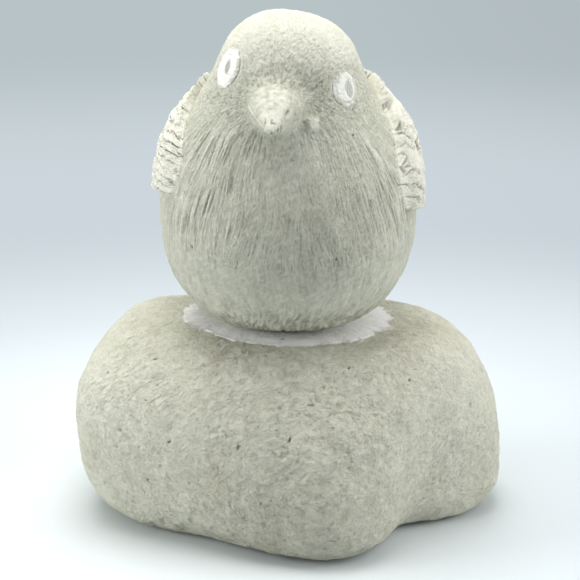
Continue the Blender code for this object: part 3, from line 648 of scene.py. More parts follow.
def eye_place(side):
    """The eye's frame: its origin is on the skin, local Z looks straight out and Y is up the face."""
    bearing = radians(EYE_BEARING)
    elevation = radians(EYE_ELEVATION)
    look = Vector((side * sin(bearing) * cos(elevation), -cos(bearing) * cos(elevation), sin(elevation)))
    place = head_place()
    ray = (place.to_3x3() @ look).normalized()
    seat = on_skin(place.translation, np.array([ray]))
    turn = Vector(skin_normals(seat)[0]).to_track_quat("Z", "Y").to_matrix().to_4x4()
    return Matrix.Translation(Vector(seat[0])) @ turn


# How the feathers lie: away from a place at the beak's root, and drawn down over throat and breast
FEATHER_SOURCE = (-0.0010, -0.0330, 0.1085)
FEATHER_DOWN_BAND = (0.1135, 0.0975)
FEATHER_FRONT_BAND = (0.0220, -0.0120)
FEATHER_DRAWN_IN = 0.28
FEATHER_DRAWN_DOWN = 0.45
FEATHER_WAVES = ((1.0, 0.0075, 43), (0.6, 0.0032, 44))

# Combing: one stride along the lie, strides from one look at the lie to the next, the noise's own spread,
# and how much that grows because neighbouring strides are alike
COMB_STRIDE = 0.0003
COMB_LOOKS = 3
NOISE_SPREAD = 0.33
STRIDE_LIKENESS = 1.6


def feather_lie(points, normals):
    """Which way feathers lie: out from the beak's root, soon turning down over throat and breast."""
    away = points - np.array(FEATHER_SOURCE)
    far = np.linalg.norm(away, axis=1)
    drawn = ramp(points[:, 2], *FEATHER_DOWN_BAND) * ramp(points[:, 1], *FEATHER_FRONT_BAND)
    away[:, 0] *= 1.0 - FEATHER_DRAWN_IN * drawn
    away[:, 0] += far * (0.15 + 0.17 * drawn) * layered(points, FEATHER_WAVES)
    away[:, 2] -= FEATHER_DRAWN_DOWN * far * drawn
    away = away - normals * np.sum(away * normals, axis=1)[:, None]
    return away / (np.linalg.norm(away, axis=1)[:, None] + 1e-6)


def combed(points, normals, layers):
    """Noise averaged along the feathers' lie, both ways from each point, which draws it out into strands.

    layers holds the width, the number of strides and a seed of each kind of strand. Each comes back
    with a spread of about one.
    """
    totals = [grain(points, width, seed) for width, _, seed in layers]
    weights = [1.0 for _ in layers]
    longest = max(strides for _, strides, _ in layers)
    for way in (1.0, -1.0):
        place = points
        for stride in range(1, longest + 1):
            if stride % COMB_LOOKS == 1:
                lie = feather_lie(place, normals)
            place = place + way * COMB_STRIDE * lie
            for number, (width, strides, seed) in enumerate(layers):
                spacing = max(1, int(width / COMB_STRIDE * 0.7))
                if stride <= strides and stride % spacing == 0:
                    fade = 1.0 - stride / (strides + 1.0)
                    totals[number] = totals[number] + fade * grain(place, width, seed)
                    weights[number] += fade**2
    spreads = [NOISE_SPREAD * np.sqrt(STRIDE_LIKENESS * weight) for weight in weights]
    return [total / spread for total, spread in zip(totals, spreads)]


# Eye patches: unevenness of their edge, as noise round the eye, and how they fade into the skin
EYE_EDGE = ((0.060, 0.35, 73), (0.060, 0.11, 74))
EYE_PATCH_FADE = (-0.0001, 0.0006)
EYE_PATCH_NEAR = 0.006


def eye_reach(angle, side):
    """Outline of an eye's patch: a pointed oval, its lower half its own height, with a ragged edge."""
    half_height = np.where(np.sin(angle) > 0.0, EYE_HALF_UP[side], EYE_HALF_DOWN[side])
    share_across = np.abs(np.cos(angle) / EYE_HALF_WIDTH) ** EYE_OUTLINE_POWER
    share_up = np.abs(np.sin(angle) / half_height) ** EYE_OUTLINE_POWER
    rim = np.stack([np.cos(angle), np.sin(angle), np.full_like(angle, side)], axis=-1)
    return (share_across + share_up) ** (-1.0 / EYE_OUTLINE_POWER) * (1.0 + layered(rim, EYE_EDGE))


def eye_marks(points):
    """Where the eyes' patches lie on the skin, from 0 to 1."""
    patch = np.zeros(len(points))
    for side in (1.0, -1.0):
        x, y, z = placed(points, eye_place(side).inverted()).T
        beyond = np.hypot(x, y) - eye_reach(np.arctan2(y, x), side)
        here = 1.0 - ramp(beyond, *EYE_PATCH_FADE)
        patch = np.maximum(patch, np.where(np.abs(z) < EYE_PATCH_NEAR, here, 0.0))
    return patch


def beak_pinch(ahead):
    """How much of its width and depth the beak keeps, ahead from 0 at its middle to 1 at its tip."""
    return (1.0 - BEAK_PINCH * ahead) * (1.0 - BEAK_TIP_PINCH * ahead**BEAK_TIP_PINCH_POWER)


def beak_place():
    """The beak's frame: it points forward along its own minus Y."""
    aim = Matrix.Rotation(radians(BEAK_POINTING), 4, "X")
    return head_place() @ Matrix.Translation(BEAK_SEAT) @ aim


def beak_closeness(points):
    """How near a point is to the beak's own pinched egg: 1 on it, more outside."""
    x, y, z = placed(points, beak_place().inverted()).T
    ahead = clamped(-y / BEAK_SIZES["length"])
    across = x / (BEAK_SIZES["half_width"] * beak_pinch(ahead))
    up = (z + BEAK_HOOK * ahead**2) / (BEAK_SIZES["half_depth"] * beak_pinch(ahead))
    return np.sqrt(across**2 + up**2 + (y / BEAK_SIZES["length"]) ** 2)


def beak_fillet(points, normals):
    """Height of the hollow curve that carries the skin up to the beak: a quarter of a circle's profile.

    The distance from the beak is measured again at the raised place, over and over, until it settles.
    """
    height = np.zeros(len(points))
    for _ in range(BEAK_FILLET_PASSES):
        away = (beak_closeness(points + normals * height[:, None]) - 1.0) * BEAK_SIZES["half_width"]
        near = clamped(1.0 - away / BEAK_FILLET)
        height = 0.5 * height + 0.5 * BEAK_FILLET * (1.0 - np.sqrt(1.0 - near**2))
    return height


# Bands of the plumage: the height, or for the front the Y, where each starts and where it is full
HEAD_BAND = (0.0980, 0.1080)
CROWN_BAND = (0.1120, 0.1200)
# The pale band over the crown is a painted highlight, where the top of the head faces the light.
LIT_CROWN_BAND = (0.1090, 0.1270)
FRONT_BAND = (-0.0060, -0.0260)
CENTRE_WIDENING_BAND = (0.0900, 0.0700)
BELLY_BAND = (0.0820, 0.0700)
LOW_BAND = (0.0640, 0.0560)
LOW_TONE_BAND = (0.0660, 0.0560)
FRINGE_TOP_BAND = (0.0590, 0.0530)
FRINGE_FOOT_BAND = (0.0490, 0.0510)

# Patches of the plumage: middle and radius
# The throat patch is painted light, lifting the throat out of the shade under the beak.
THROAT_PATCH = ((0.0005, -0.0350, 0.0940), 0.0095)
# The shaded face and breast are painted shade.
SHADED_FACE = ((0.0030, -0.0345, 0.1140), 0.0095)
SHADED_BREAST = ((0.0060, -0.0380, 0.0800), 0.0150)

# Its middle line, the pale corner of the gape and the fringe over the filler
CENTRE_SIDE = 0.0030
CENTRE_HALF_WIDTHS = (0.0125, 0.0185)
GAPE_PLACE = (0.0056, 0.1046)
GAPE_HALF_SIZES = (0.0012, 0.0015)
GAPE_RISE = 0.0010
FRINGE_RISE = 0.00022
EYE_BED_DEPTH = 0.00010

# Its strands, locks, stipple, tufts and hatching: share of the strand width, strides along the lie and seed
COMBED_LAYERS = ((1.0, 22, 31), (2.0, 16, 42), (0.9, 1, 32), (5.0, 24, 33), (1.5, 7, 34))

# Its strokes, knocks, lumps and pits
BREAST_STROKES = {"spacing": 0.0020, "length": 0.0014, "width": 0.00020, "seed": 47}
BREAST_WAY = {"slant": (0.46, -0.89), "spread": 0.15}
HEAD_STROKES = {"spacing": 0.0015, "length": 0.0008, "width": 0.00019, "seed": 45}
HEAD_WAY = {"slant": (0.50, 0.86), "spread": 0.22}
HEAD_KNOCKS = {"size": 0.0013, "seed": 46}
PLUMAGE_LUMPS = ((0.6, 0.0050, 38), (0.4, 0.0026, 39))
PLUMAGE_PITS = {"spacing": 0.0088, "radius": 0.0004, "seed": 41}


def plumage_areas(points):
    """Where the plumage changes its kind, each area from 0 to 1."""
    x, y, z = points.T
    head = ramp(z, *HEAD_BAND)
    ahead = ramp(y, *FRONT_BAND)
    narrow, wide = CENTRE_HALF_WIDTHS
    half_width = narrow + (wide - narrow) * ramp(z, *CENTRE_WIDENING_BAND)
    return SimpleNamespace(
        head=head,
        crown=ramp(z, *CROWN_BAND),
        ahead=ahead,
        centre=ridge(x - CENTRE_SIDE, half_width) * ahead * (1.0 - head),
        throat_patch=bell(points, *THROAT_PATCH),
        belly=ahead * ramp(z, *BELLY_BAND),
        low=ramp(z, *LOW_BAND),
    )


def plumage_cuts(points, normals, area, look):
    """Wavy strands over the body and short knocks on the head, from about -1 to 1, and what groups them."""
    layers = [(look.strand_width * share, strides, seed) for share, strides, seed in COMBED_LAYERS]
    strands, locks, stipple, tufts, hatching = combed(points, normals, layers)
    x, y, z = points.T
    folded = np.stack([np.abs(x), y, z], axis=1)
    short = strokes(folded, **BREAST_STROKES, **BREAST_WAY)
    feathers = strokes(folded, **HEAD_STROKES, **HEAD_WAY)
    knocks = chips(points, **HEAD_KNOCKS)
    crest = 1.0 - 2.0 * np.sqrt(clamped(np.abs(locks)))
    strength = (1.0 - area.head) * (1.0 - 0.72 * area.centre) * (1.0 - 0.3 * area.low)
    strength = strength * (1.0 - 0.8 * area.throat_patch) * (1.0 - 0.45 * area.belly)
    strength = strength * (0.65 + 0.35 * np.tanh(2.0 * grain(points, 0.0052, 37)))
    fine = strength * (0.75 * np.tanh(1.5 * strands) + 0.50 * np.tanh(1.5 * locks) + 0.30 * crest)
    fine = fine + (1.0 - area.head) * (1.2 - 0.5 * area.throat_patch) * (1.0 - 0.60 * area.centre) * short
    on_head = (1.7 - 0.5 * area.crown) * feathers + 0.5 * np.tanh(stipple) + 0.6 * knocks
    fine = fine + area.head * on_head + area.throat_patch * (0.5 * knocks + 0.4 * feathers)
    fine = fine + (0.25 * area.belly + 0.7 * area.low) * np.tanh(hatching)
    fine = fine + 0.30 * (1.0 - area.head) * np.tanh(stipple)
    return SimpleNamespace(fine=fine, strength=strength, tufts=tufts, hatching=hatching)


def plumage(points, normals, look):
    """Heights of the carved plumage above the bird's smooth form, with the marks its colours follow."""
    x, y, z = points.T
    area = plumage_areas(points)
    cuts = plumage_cuts(points, normals, area, look)
    lumps = layered(points, PLUMAGE_LUMPS)
    pits = spots(points, **PLUMAGE_PITS)
    patch = eye_marks(points)
    fringe = ramp(z, *FRINGE_TOP_BAND) * ramp(z, *FRINGE_FOOT_BAND)
    gape = ridge(x - GAPE_PLACE[0], GAPE_HALF_SIZES[0], 4) * ridge(z - GAPE_PLACE[1], GAPE_HALF_SIZES[1], 4)
    gape = np.where(y < 0.0, gape, 0.0)
    height = look.strand_depth * (cuts.fine - 2.5 * pits) + look.lump_depth * lumps
    height = height + look.tuft_depth * np.tanh(cuts.tufts) * (cuts.strength + 0.3 * area.head)
    height = height + FRINGE_RISE * fringe * np.clip(cuts.hatching, -0.3, 1.2)
    height = height * (1.0 - 0.85 * patch) - EYE_BED_DEPTH * patch
    height = height + GAPE_RISE * gape - look.strand_depth * 0.6 + beak_fillet(points, normals)
    # Painted shade in the cuts and pits, on the shaded face and breast and over the whole front, with less of
    # it on the crown.
    dark = 0.50 * clamped(-cuts.fine) + 1.5 * pits - 0.10 * lumps - 0.6 * gape
    dark = dark + 0.27 * (bell(points, *SHADED_FACE) + bell(points, *SHADED_BREAST)) + 0.08 * area.ahead
    dark = clamped(dark * (1.0 - 0.5 * area.crown)) * (1.0 - patch)
    # Painted highlights on the raised strands, tufts and lumps, on the throat and on the crown, besides the
    # pale gape and the white under the eye patches.
    light = 0.75 * clamped(cuts.fine) + 0.30 * clamped(cuts.tufts * cuts.strength) + 0.20 * lumps
    light = light + 0.55 * area.throat_patch + 0.7 * gape + 0.5 * patch + 1.05 * ramp(z, *LIT_CROWN_BAND)
    # Random stains, and a tint that turns warmer and darker towards the bottom of the body.
    stain = stained(points, 0.0150, 36) + 0.5 * ramp(z, *LOW_TONE_BAND)
    return height, tints(dark, light, stain)


def make_skin_part(name, facing, right, look, material, steps, spans):
    """A part of one of six faces of a cube that is blown out to the skin from the bird's heart.

    For slopes u and v in its spans, of -1 to 1 for a whole face, its rays are facing + tan(45 u degrees)
    right + tan(45 v degrees) up.
    """
    facing = unit(np.array(facing, float))
    right = unit(np.array(right, float) - facing * np.dot(right, facing))
    up = np.cross(facing, right)
    u, v = every_pair(*(np.tan(pi / 4 * np.linspace(*span, steps + 1)) for span in spans))
    rays = unit(facing + u[:, None] * right + v[:, None] * up)
    points = on_skin(FIGURE_HEART, rays)
    normals = skin_normals(points)
    height, marks = plumage(points, normals, look)
    shape = (steps + 1, steps + 1)
    return capped_sheet(name, points + normals * height[:, None], shape, FIGURE_HEART, marks, material)


# Beak, tail and eyes

# Beak's carving. Its places are shares of the beak's half width and half depth, its depths are metres
NOSTRIL = {"across": 0.50, "up": 0.55, "depth": 0.00050}
FAR_NOSTRIL = {"across": -0.55, "up": 0.50, "depth": 0.00020}
NOSTRIL_HALF_SIZES = (0.07, 0.08)
MOUTH_DEPTH = 0.00030
LIP_RISE = 0.00014
BEAK_KNOCK_RISE = 0.00012
BEAK_GRAIN = ((0.3, 0.0026, 51), (0.5, 0.0008, 54))
BEAK_KNOCKS = {"size": 0.0013, "seed": 52}
BEAK_LIT_PLACE = (-0.15, 0.45)
BEAK_LIT_RADIUS = 0.5831
BEAK_POLE_ANGLE = 0.02


def nostril_dimple(across, up, nostril):
    half_width, half_height = NOSTRIL_HALF_SIZES
    return ridge(across - nostril["across"], half_width) * ridge(up - nostril["up"], half_height)


def beak_carving(points, across, up, ahead):
    """Mouth line, two nostrils and small knocks, with the marks that the beak's colours follow."""
    jaw = ramp(ahead, 0.10, 0.30) * (0.25 + 0.75 * smooth_step(0.5 - 3.0 * across))
    mouth = ridge(up + 0.14 + 0.10 * ahead, 0.045) * jaw
    lip = ridge(up + 0.02 + 0.10 * ahead, 0.05) * jaw
    nostril = nostril_dimple(across, up, NOSTRIL)
    far_nostril = nostril_dimple(across, up, FAR_NOSTRIL)
    knocks = layered(points, BEAK_GRAIN) + 0.4 * chips(points, **BEAK_KNOCKS)
    height = BEAK_KNOCK_RISE * knocks - MOUTH_DEPTH * mouth + LIP_RISE * lip
    height = height - NOSTRIL["depth"] * nostril - FAR_NOSTRIL["depth"] * far_nostril
    tip = ramp(ahead, 0.74, 0.94)
    shaded = ramp(across, 0.28, 0.73)
    flaws = smooth_step(grain(points, 0.0007, 58) * 2.2 - 0.35) * (0.30 + 0.45 * tip)
    blotch = smooth_step(grain(points, 0.0011, 53) * 1.5 + 0.5)
    lit = ridge(np.hypot(across - BEAK_LIT_PLACE[0], up - BEAK_LIT_PLACE[1]), BEAK_LIT_RADIUS)
    lit = 1.6 * lit * smooth_step(0.75 + grain(points, 0.0008, 57))
    # Painted shade in the knocks' dips, the nostrils, the mouth and on the shaded side, besides the beak's
    # own dark flaws; painted highlights on the lip, the knocks' tops and the lit patch.
    dark = 0.30 * clamped(-knocks) + 0.6 * nostril + 0.35 * mouth + 0.20 * shaded + flaws
    light = lip + 0.6 * clamped(knocks) * (1.0 - 0.7 * shaded) + lit
    return height, tints(dark, light, 1.3 * tip * blotch)


def make_beak(material):
    """An egg of rings from its tip back: across and up are a sine of the ring, and along is its cosine.

    It is pinched and hooked towards the tip.
    """
    rings, around = BEAK_GRID
    angles, rounds = every_pair(np.linspace(BEAK_POLE_ANGLE, pi - BEAK_POLE_ANGLE, rings), round_turn(around))
    across = np.sin(angles) * np.cos(rounds)
    up = np.sin(angles) * np.sin(rounds)
    ahead = clamped(np.cos(angles))
    x = across * BEAK_SIZES["half_width"] * beak_pinch(ahead)
    y = -np.cos(angles) * BEAK_SIZES["length"]
    z = up * BEAK_SIZES["half_depth"] * beak_pinch(ahead) - BEAK_HOOK * ahead**2
    place = beak_place()
    points = placed(np.stack([x, y, z], axis=1), place)
    outward = unit(points - np.array(place.translation))
    height, marks = beak_carving(points, across, up, ahead)
    return wrapped_sheet("beak", points + outward * height[:, None], BEAK_GRID, marks, material, turned=True)


# Tail's feathers on each side, with the rise of their laps, barbs and quills and the cut between them
TAIL_FEATHERS = 3.0
TAIL_LAP_RISE = 0.00040
TAIL_BARB_RISE = 0.00009
TAIL_QUILL_RISE = 0.00018
TAIL_CUT_DEPTH = 0.00025
TAIL_LINE_HALF_WIDTH = 0.05
TAIL_BARB_PITCH = 0.00085
TAIL_BARB_SLANT = 0.0060
TAIL_NOTCH = 0.0018


def make_tail(material):
    """Flat oval rings from the root back to the tip, with lapped feathers and barbs that slant off quills."""
    backs, rounds = every_pair(np.linspace(0.0, 1.0, TAIL_GRID[0]), round_turn(TAIL_GRID[1]))
    side = boxed(np.cos(rounds), TAIL_SECTION_POWER)
    lift = boxed(np.sin(rounds), TAIL_SECTION_POWER)
    root_width, tip_width = TAIL_HALF_WIDTHS
    root_thickness, tip_thickness = TAIL_THICKNESSES
    half_width = root_width + (tip_width - root_width) * backs
    thickness = root_thickness + (tip_thickness - root_thickness) * backs**TAIL_THINNING
    thickness = thickness * (1.0 - TAIL_EDGE_THINNING * side**2)
    along = backs * TAIL_LENGTH
    lane = np.abs(side) * TAIL_FEATHERS % 1.0
    off_quill = np.abs(lane - 0.5)
    warp = np.stack([side * tip_width, along, lift * 0.002], axis=1)
    phase = (along - off_quill * TAIL_BARB_SLANT) / TAIL_BARB_PITCH
    barbs = np.sin(2.0 * pi * (phase + 0.5 * grain(warp, 0.0020, 61)))
    quill = ridge(off_quill, TAIL_LINE_HALF_WIDTH)
    cut = ridge(lane, TAIL_LINE_HALF_WIDTH)
    relief = TAIL_LAP_RISE * (1.0 - lane) * backs + TAIL_BARB_RISE * barbs
    relief = relief + TAIL_QUILL_RISE * quill - TAIL_CUT_DEPTH * cut
    notch = TAIL_NOTCH * off_quill * ramp(backs, 0.9, 1.0)
    y = TAIL_ROOT_BACK + along - TAIL_TIP_ROUNDING * side**2 * backs - notch
    middle = TAIL_ROOT_HEIGHT - np.tan(radians(TAIL_SLOPE)) * along - TAIL_CAMBER * side**2
    points = np.stack([side * half_width, y, middle + lift * (thickness / 2.0 + relief)], axis=1)
    # Painted shade in the barbs' dips and the cuts between feathers, and painted highlights on the barbs'
    # crests and the quills.
    dark = 0.6 * clamped(-barbs) + 0.8 * cut
    light = 0.5 * clamped(barbs) + 0.5 * quill
    marks = tints(dark, light, stained(points, 0.0150, 62))
    return wrapped_sheet("tail", points, TAIL_GRID, marks, material, turned=True)


# Each eye's own drawing. The pupil's size and place are shares of the settings, the cut line is a parabola.
# The eye on the viewer's right, side 1, is set less white and given a dull share towards the stain colour:
# painted shade, as it faces away from the light.
EYE_DRAWING = {
    1.0: {"pupil": (1.45, 1.15, 1.0), "fill": 0.85, "smeared_from": 0.60, "dull": 0.38, "chalk": 0.5},
    -1.0: {"pupil": (0.90, 0.90, 0.7), "fill": 1.0, "smeared_from": 0.68, "dull": 0.0, "chalk": 0.7},
}
EYE_LINE = {
    1.0: {"height": -0.0027, "bend": 110.0, "half_thickness": 0.00025, "half_length": 0.0013},
    -1.0: {"height": 0.0029, "bend": -90.0, "half_thickness": 0.00022, "half_length": 0.0012},
}
EYE_RISE = 0.00030
EYE_FILM = 0.00003
EYE_SMEAR_RISE = 0.00012
EYE_SMEARS = ((0.5, 0.0012, 71), (0.5, 0.0005, 72))
EYE_SMEARED_SHARE = 0.26
EYE_PUPIL_DEPTH = 0.00030
EYE_CUT_DEPTH = 0.00018
EYE_TUCK = -0.0006


def eye_cuts(x, y, rounds, side, look):
    """The almond of the pupil, and the cuts: a crescent beside it and the line under or over it."""
    wide, high, aside = EYE_DRAWING[side]["pupil"]
    across = (x - look.pupil_side * aside) / (look.pupil_half_width * wide)
    up = y / (look.pupil_half_height * high)
    almond = np.sqrt(across**2 + up**2) * 0.6 + (np.abs(across) + up**2) * 0.4
    crescent = ridge(almond - 1.15, 0.14) * smooth_step(0.5 + 0.5 * np.sin(rounds - 0.6))
    line = EYE_LINE[side]
    bent = y - line["height"] - line["bend"] * x**2
    cut = ridge(bent, line["half_thickness"]) * ridge(x, line["half_length"])
    return 1.0 - ramp(almond, 0.75, 1.10), clamped(crescent + cut)


def make_eye(name, side, look, material):
    """A thin dome smeared on the skin, in rings from its crown out to a pointed oval outline.

    Its lift over the skin is a root of one minus the ring's share squared, and the last two rings dip
    under the skin. Each ring lies where rays from the head's middle through its oval meet the skin.
    """
    rings, around = EYE_GRID
    share = np.append(np.linspace(0.01, 1.0, rings - 2), [1.02, 0.9])
    shares, rounds = every_pair(share, round_turn(around))
    tucked = np.arange(rings * around) >= (rings - 2) * around
    reach = shares * eye_reach(rounds, side)
    x = reach * np.cos(rounds)
    y = reach * np.sin(rounds)
    flat = np.stack([x, y, np.zeros_like(x)], axis=1)
    skin = on_skin(HEAD_MIDDLE, unit(placed(flat, eye_place(side)) - np.array(HEAD_MIDDLE)))
    own = EYE_DRAWING[side]
    smears = layered(flat, EYE_SMEARS)
    pupil, cuts = eye_cuts(x, y, rounds, side, look)
    pupil = pupil * own["fill"]
    lift = EYE_RISE * np.sqrt(clamped(1.0 - shares**2)) + EYE_FILM + EYE_SMEAR_RISE * smears
    lift = np.where(tucked, EYE_TUCK, lift - EYE_PUPIL_DEPTH * pupil - EYE_CUT_DEPTH * cuts)
    points = skin + skin_normals(skin) * lift[:, None]
    fringe = ramp(shares, own["smeared_from"], own["smeared_from"] + EYE_SMEARED_SHARE)
    # Dark in the pupil and painted shade in the cuts; the dull share paints shade over the whole eye on the
    # viewer's right.
    dark = pupil * (0.8 + 0.2 * smears) + 0.60 * cuts
    light = own["chalk"] + 0.5 * smears - 0.8 * fringe
    marks = tints(dark, light, own["dull"] + fringe * smooth_step(0.45 + 1.5 * smears))
    return wrapped_sheet(name, points, EYE_GRID, marks, material, turned=True)


# Wings


def wing_layout(along, across, side):
    """Start, ray and skin reach for a place on the wing, along and across it from 0 to 1."""
    front = WING_FRONT_LOW + (WING_FRONT_HIGH - WING_FRONT_LOW) * across
    front = front - WING_FRONT_BULGE * np.sin(pi * across)
    back = front + (WING_TIP - front) * along
    closing = (1.0 - along) ** 3
    low = WING_LOW_ANGLE[side] + WING_FRONT_LOW_CLOSING * closing + WING_TIP_LOW_RISE * along**3
    high = WING_HIGH_ANGLE - WING_FRONT_HIGH_CLOSING * closing - WING_TIP_HIGH_FALL * along**3
    angle = np.radians(low + (high - low) * across)
    rays = np.stack([side * np.cos(angle), np.zeros_like(angle), np.sin(angle)], axis=1)
    starts = np.stack([np.zeros_like(back), back, np.full_like(back, TORSO_MIDDLE[2])], axis=1)
    return starts, rays, skin_reach(starts, rays)


# Each wing's own feathering: its rows' slope and how much they steepen low down, and shares of the settings
FEATHER_ROWS = {
    1.0: {"slope": 0.20, "steepening": 0.60, "seed": 3},
    -1.0: {"slope": 0.05, "steepening": 0.0, "seed": 5},
}
FEATHERING = {
    1.0: {"width": 1.15, "barbs": 1.0, "gaps": 0.60, "warmth": 0.9},
    -1.0: {"width": 0.75, "barbs": 0.7, "gaps": 1.0, "warmth": 0.4},
}
WILD_BAND = (0.0080, -0.0080)
STEEPENING_BAND = (0.1060, 0.0840)
WARM_BAND = (0.1000, 0.0800)
FEATHER_JAGS = {"size": 0.0019, "seed": 85}
FEATHER_CHIPS = {"size": 0.0014, "seed": 84}
FEATHER_SPLITS = {"spacing": 0.0012, "length": 0.0008, "width": 0.00014, "seed": 48, "spread": 0.3}
FEATHER_SQUEEZE = (1.0, 0.45, 1.0)
ROW_STRIDE = 7919
FEATHER_STRIDES = (7907, 6553)


def feather_rows(points, side, look):
    """Which feather a point is on: its share down the row and along the feather, and the feather's chances.

    Noise bends the rows, and at the wing's wild front it breaks them up too.
    """
    x, y, z = points.T
    own = FEATHER_ROWS[side]
    width = look.feather_width * FEATHERING[side]["width"]
    wild = ramp(y, *WILD_BAND)
    slope = own["slope"] + own["steepening"] * ramp(z, *STEEPENING_BAND)
    jagged = chips(points, **FEATHER_JAGS) * wild
    warp = grain(points, 0.0090, 81) * 0.55 + (grain(points, 0.0020, 86) * 0.16 + jagged * 0.40) * wild
    row_place = (z + slope * (np.abs(x) - 0.020)) / width + warp
    row = np.floor(row_place)
    shift = GRAIN_TABLE[(row.astype(np.int64) * ROW_STRIDE + own["seed"]) % GRAIN_SIDE**3]
    end_place = (y + 0.030) / look.feather_length + 0.5 * shift + 0.30 * grain(points, 0.0030, 87)
    feather = (row * 131.0 + np.floor(end_place) * 17.0 + 7.0 * side).astype(np.int64)
    lean, plain = (GRAIN_TABLE[(feather * stride) % GRAIN_SIDE**3] for stride in FEATHER_STRIDES)
    return SimpleNamespace(
        width=width,
        wild=wild,
        jagged=jagged,
        part=row_place - row,
        end=end_place % 1.0,
        lean=lean,
        plain=plain,
    )


def feathering(points, side, look):
    """Lapped feathers that run back along the wing, in rows one above another and cut across at their ends.

    A feather rises to its lower edge, which laps over the next row's dark upper edge. Its barbs slant off
    a quill down its middle. In front the wing is craggy, and behind its rows lie clear.
    """
    own = FEATHERING[side]
    rows = feather_rows(points, side, look)
    part, end, wild = rows.part, rows.end, rows.wild
    y, z = points[:, 1], points[:, 2]
    squeezed = points * np.array(FEATHER_SQUEEZE)
    off_quill = part - 0.45 - 0.12 * rows.lean
    run = y * 0.45 + np.abs(off_quill) * rows.width * 1.2 + z * 0.35 * rows.plain
    barbs = np.sin(2.0 * pi * (run / look.barb_pitch + 0.35 * grain(points, 0.0013, 82)))
    barbs = barbs * smooth_step(0.8 + 0.9 * rows.plain)
    splits = strokes(squeezed, slant=(0.9 * side, -0.5), **FEATHER_SPLITS)
    rough = grain(points, 0.0014, 83) * 0.4 + rows.jagged * 0.5
    rough = rough + chips(points, **FEATHER_CHIPS) * 0.6 * (0.3 + 0.7 * wild)
    broken = smooth_step(0.95 + 1.4 * grain(squeezed, 0.0026, 88))
    joined = smooth_step(0.75 + 1.2 * grain(points, 0.0048, 89) + 0.4 * (1.0 - wild))
    gap = ridge(part - 0.95, 0.07) + ridge(part + 0.05, 0.07)
    ending = ridge(end, 0.06) + ridge(1.0 - end, 0.04) * 0.5
    deep = clamped(gap * broken * (0.5 + 0.5 * joined) + 0.7 * ending * broken)
    height = look.feather_step * ((1.0 - part) * (0.35 + 0.65 * joined) + 0.4 * end + 0.35 * rows.lean)
    fine = 1.2 * own["barbs"] * barbs + 1.5 * rough + 0.5 * ridge(off_quill, 0.08) + splits
    height = height + look.barb_depth * fine - look.gap_depth * own["gaps"] * deep
    # Painted shade in the barbs' dips, the splits and the gaps, and over the back of the wing, which tones
    # its paler colour down to the body's; painted highlights on the barbs' crests and each feather's raised
    # lower edge.
    dark = 0.40 * own["barbs"] * clamped(-barbs) + 0.35 * clamped(-splits) + 0.45 * clamped(-rough)
    dark = (dark + 0.5 * (1.0 + own["gaps"]) * deep) * (0.6 + 0.4 * wild) + 0.28 * (1.0 - wild)
    light = 0.6 * own["barbs"] * clamped(barbs) + 0.5 * clamped(splits) + 0.8 * clamped(rough)
    light = (light + 0.4 * (1.0 - part)) * (1.0 - deep)
    return height, tints(dark, light, deep * ramp(z, *WARM_BAND) * own["warmth"])


# Wing's sheet: its length and height over the skin, its own film and how far its skirt goes under the skin
WING_LENGTH = 0.070
WING_HEIGHT = 0.036
WING_FILM = 0.0004
WING_SKIRT = -0.0012
WING_HEART = 0.45
WING_HEART_DEPTH = 0.006


def make_wing(name, side, look, material):
    """A feathered sheet over the skin, rounded down at its rim and closed inwards."""
    along_line = np.linspace(0.0, 1.0, WING_COLUMNS + 1)
    across_line = np.linspace(0.0, 1.0, WING_LINES + 1)
    if side < 0:
        along_line = along_line[::-1]
    along_line = np.pad(along_line, 1, mode="edge")
    across_line = np.pad(across_line, 1, mode="edge")
    shape = (len(along_line), len(across_line))
    along, across = every_pair(along_line, across_line)
    column, line = (values.ravel() for values in np.indices(shape))
    skirt = (column == 0) | (column == shape[0] - 1) | (line == 0) | (line == shape[1] - 1)
    starts, rays, reach = wing_layout(along, across, side)
    thickness = WING_THICKNESS_LOW[side] * (1.0 - across) + WING_THICKNESS_HIGH[side] * across + WING_FILM
    height, marks = feathering(starts + rays * reach[:, None], side, look)
    from_rim = np.minimum((1.0 - along) * WING_LENGTH, np.minimum(across, 1.0 - across) * WING_HEIGHT)
    round_off = np.sqrt(1.0 - (1.0 - clamped(from_rim / look.rim_rounding)) ** 2)
    front = smooth_step(along * WING_LENGTH / look.front_easing)
    lift = (thickness + height) * (0.25 + 0.75 * round_off) * (0.20 + 0.80 * front)
    lift = np.where(skirt, WING_SKIRT, lift)
    points = starts + rays * (reach + lift)[:, None]
    middle = np.argmin(np.hypot(along - WING_HEART, across - WING_HEART))
    apex = starts[middle] + rays[middle] * (reach[middle] - WING_HEART_DEPTH)
    return capped_sheet(name, points, shape, apex, marks, material)


# Filler and felt

# Filler's edge: even noises, and one that is drawn out into spikes
FILLER_EDGE = ((0.30, 0.0045, 91), (0.12, 0.0013, 97), (0.06, 0.0005, 93))
FILLER_SPIKES = ((1.0, 0.0009, 92),)

# Filler's section: its film on the rock, its wedge up to the belly, its brushed lip and its sunk underside
FILLER_INNER_SHARE = 0.30
FILLER_FILM = 0.00012
FILLER_WEDGE = 0.0042
FILLER_LIP = 0.00030
FILLER_LIP_SHARE = 0.1
FILLER_BRUSHING = 0.00006
FILLER_SAND = 0.00003
FILLER_SUNK = -0.0012
PINHOLE = {"x": -0.0011, "y": -0.0213, "radius": 0.00042, "depth": 0.0009}

# Felt's section: each ring's share of the outline and of the thickness
FELT_RINGS = ((0.05, 0.0), (0.9, 0.0), (1.0, 0.0001), (1.0, 0.9), (0.985, 1.0), (0.05, 1.0))
FELT_FUR = 0.002


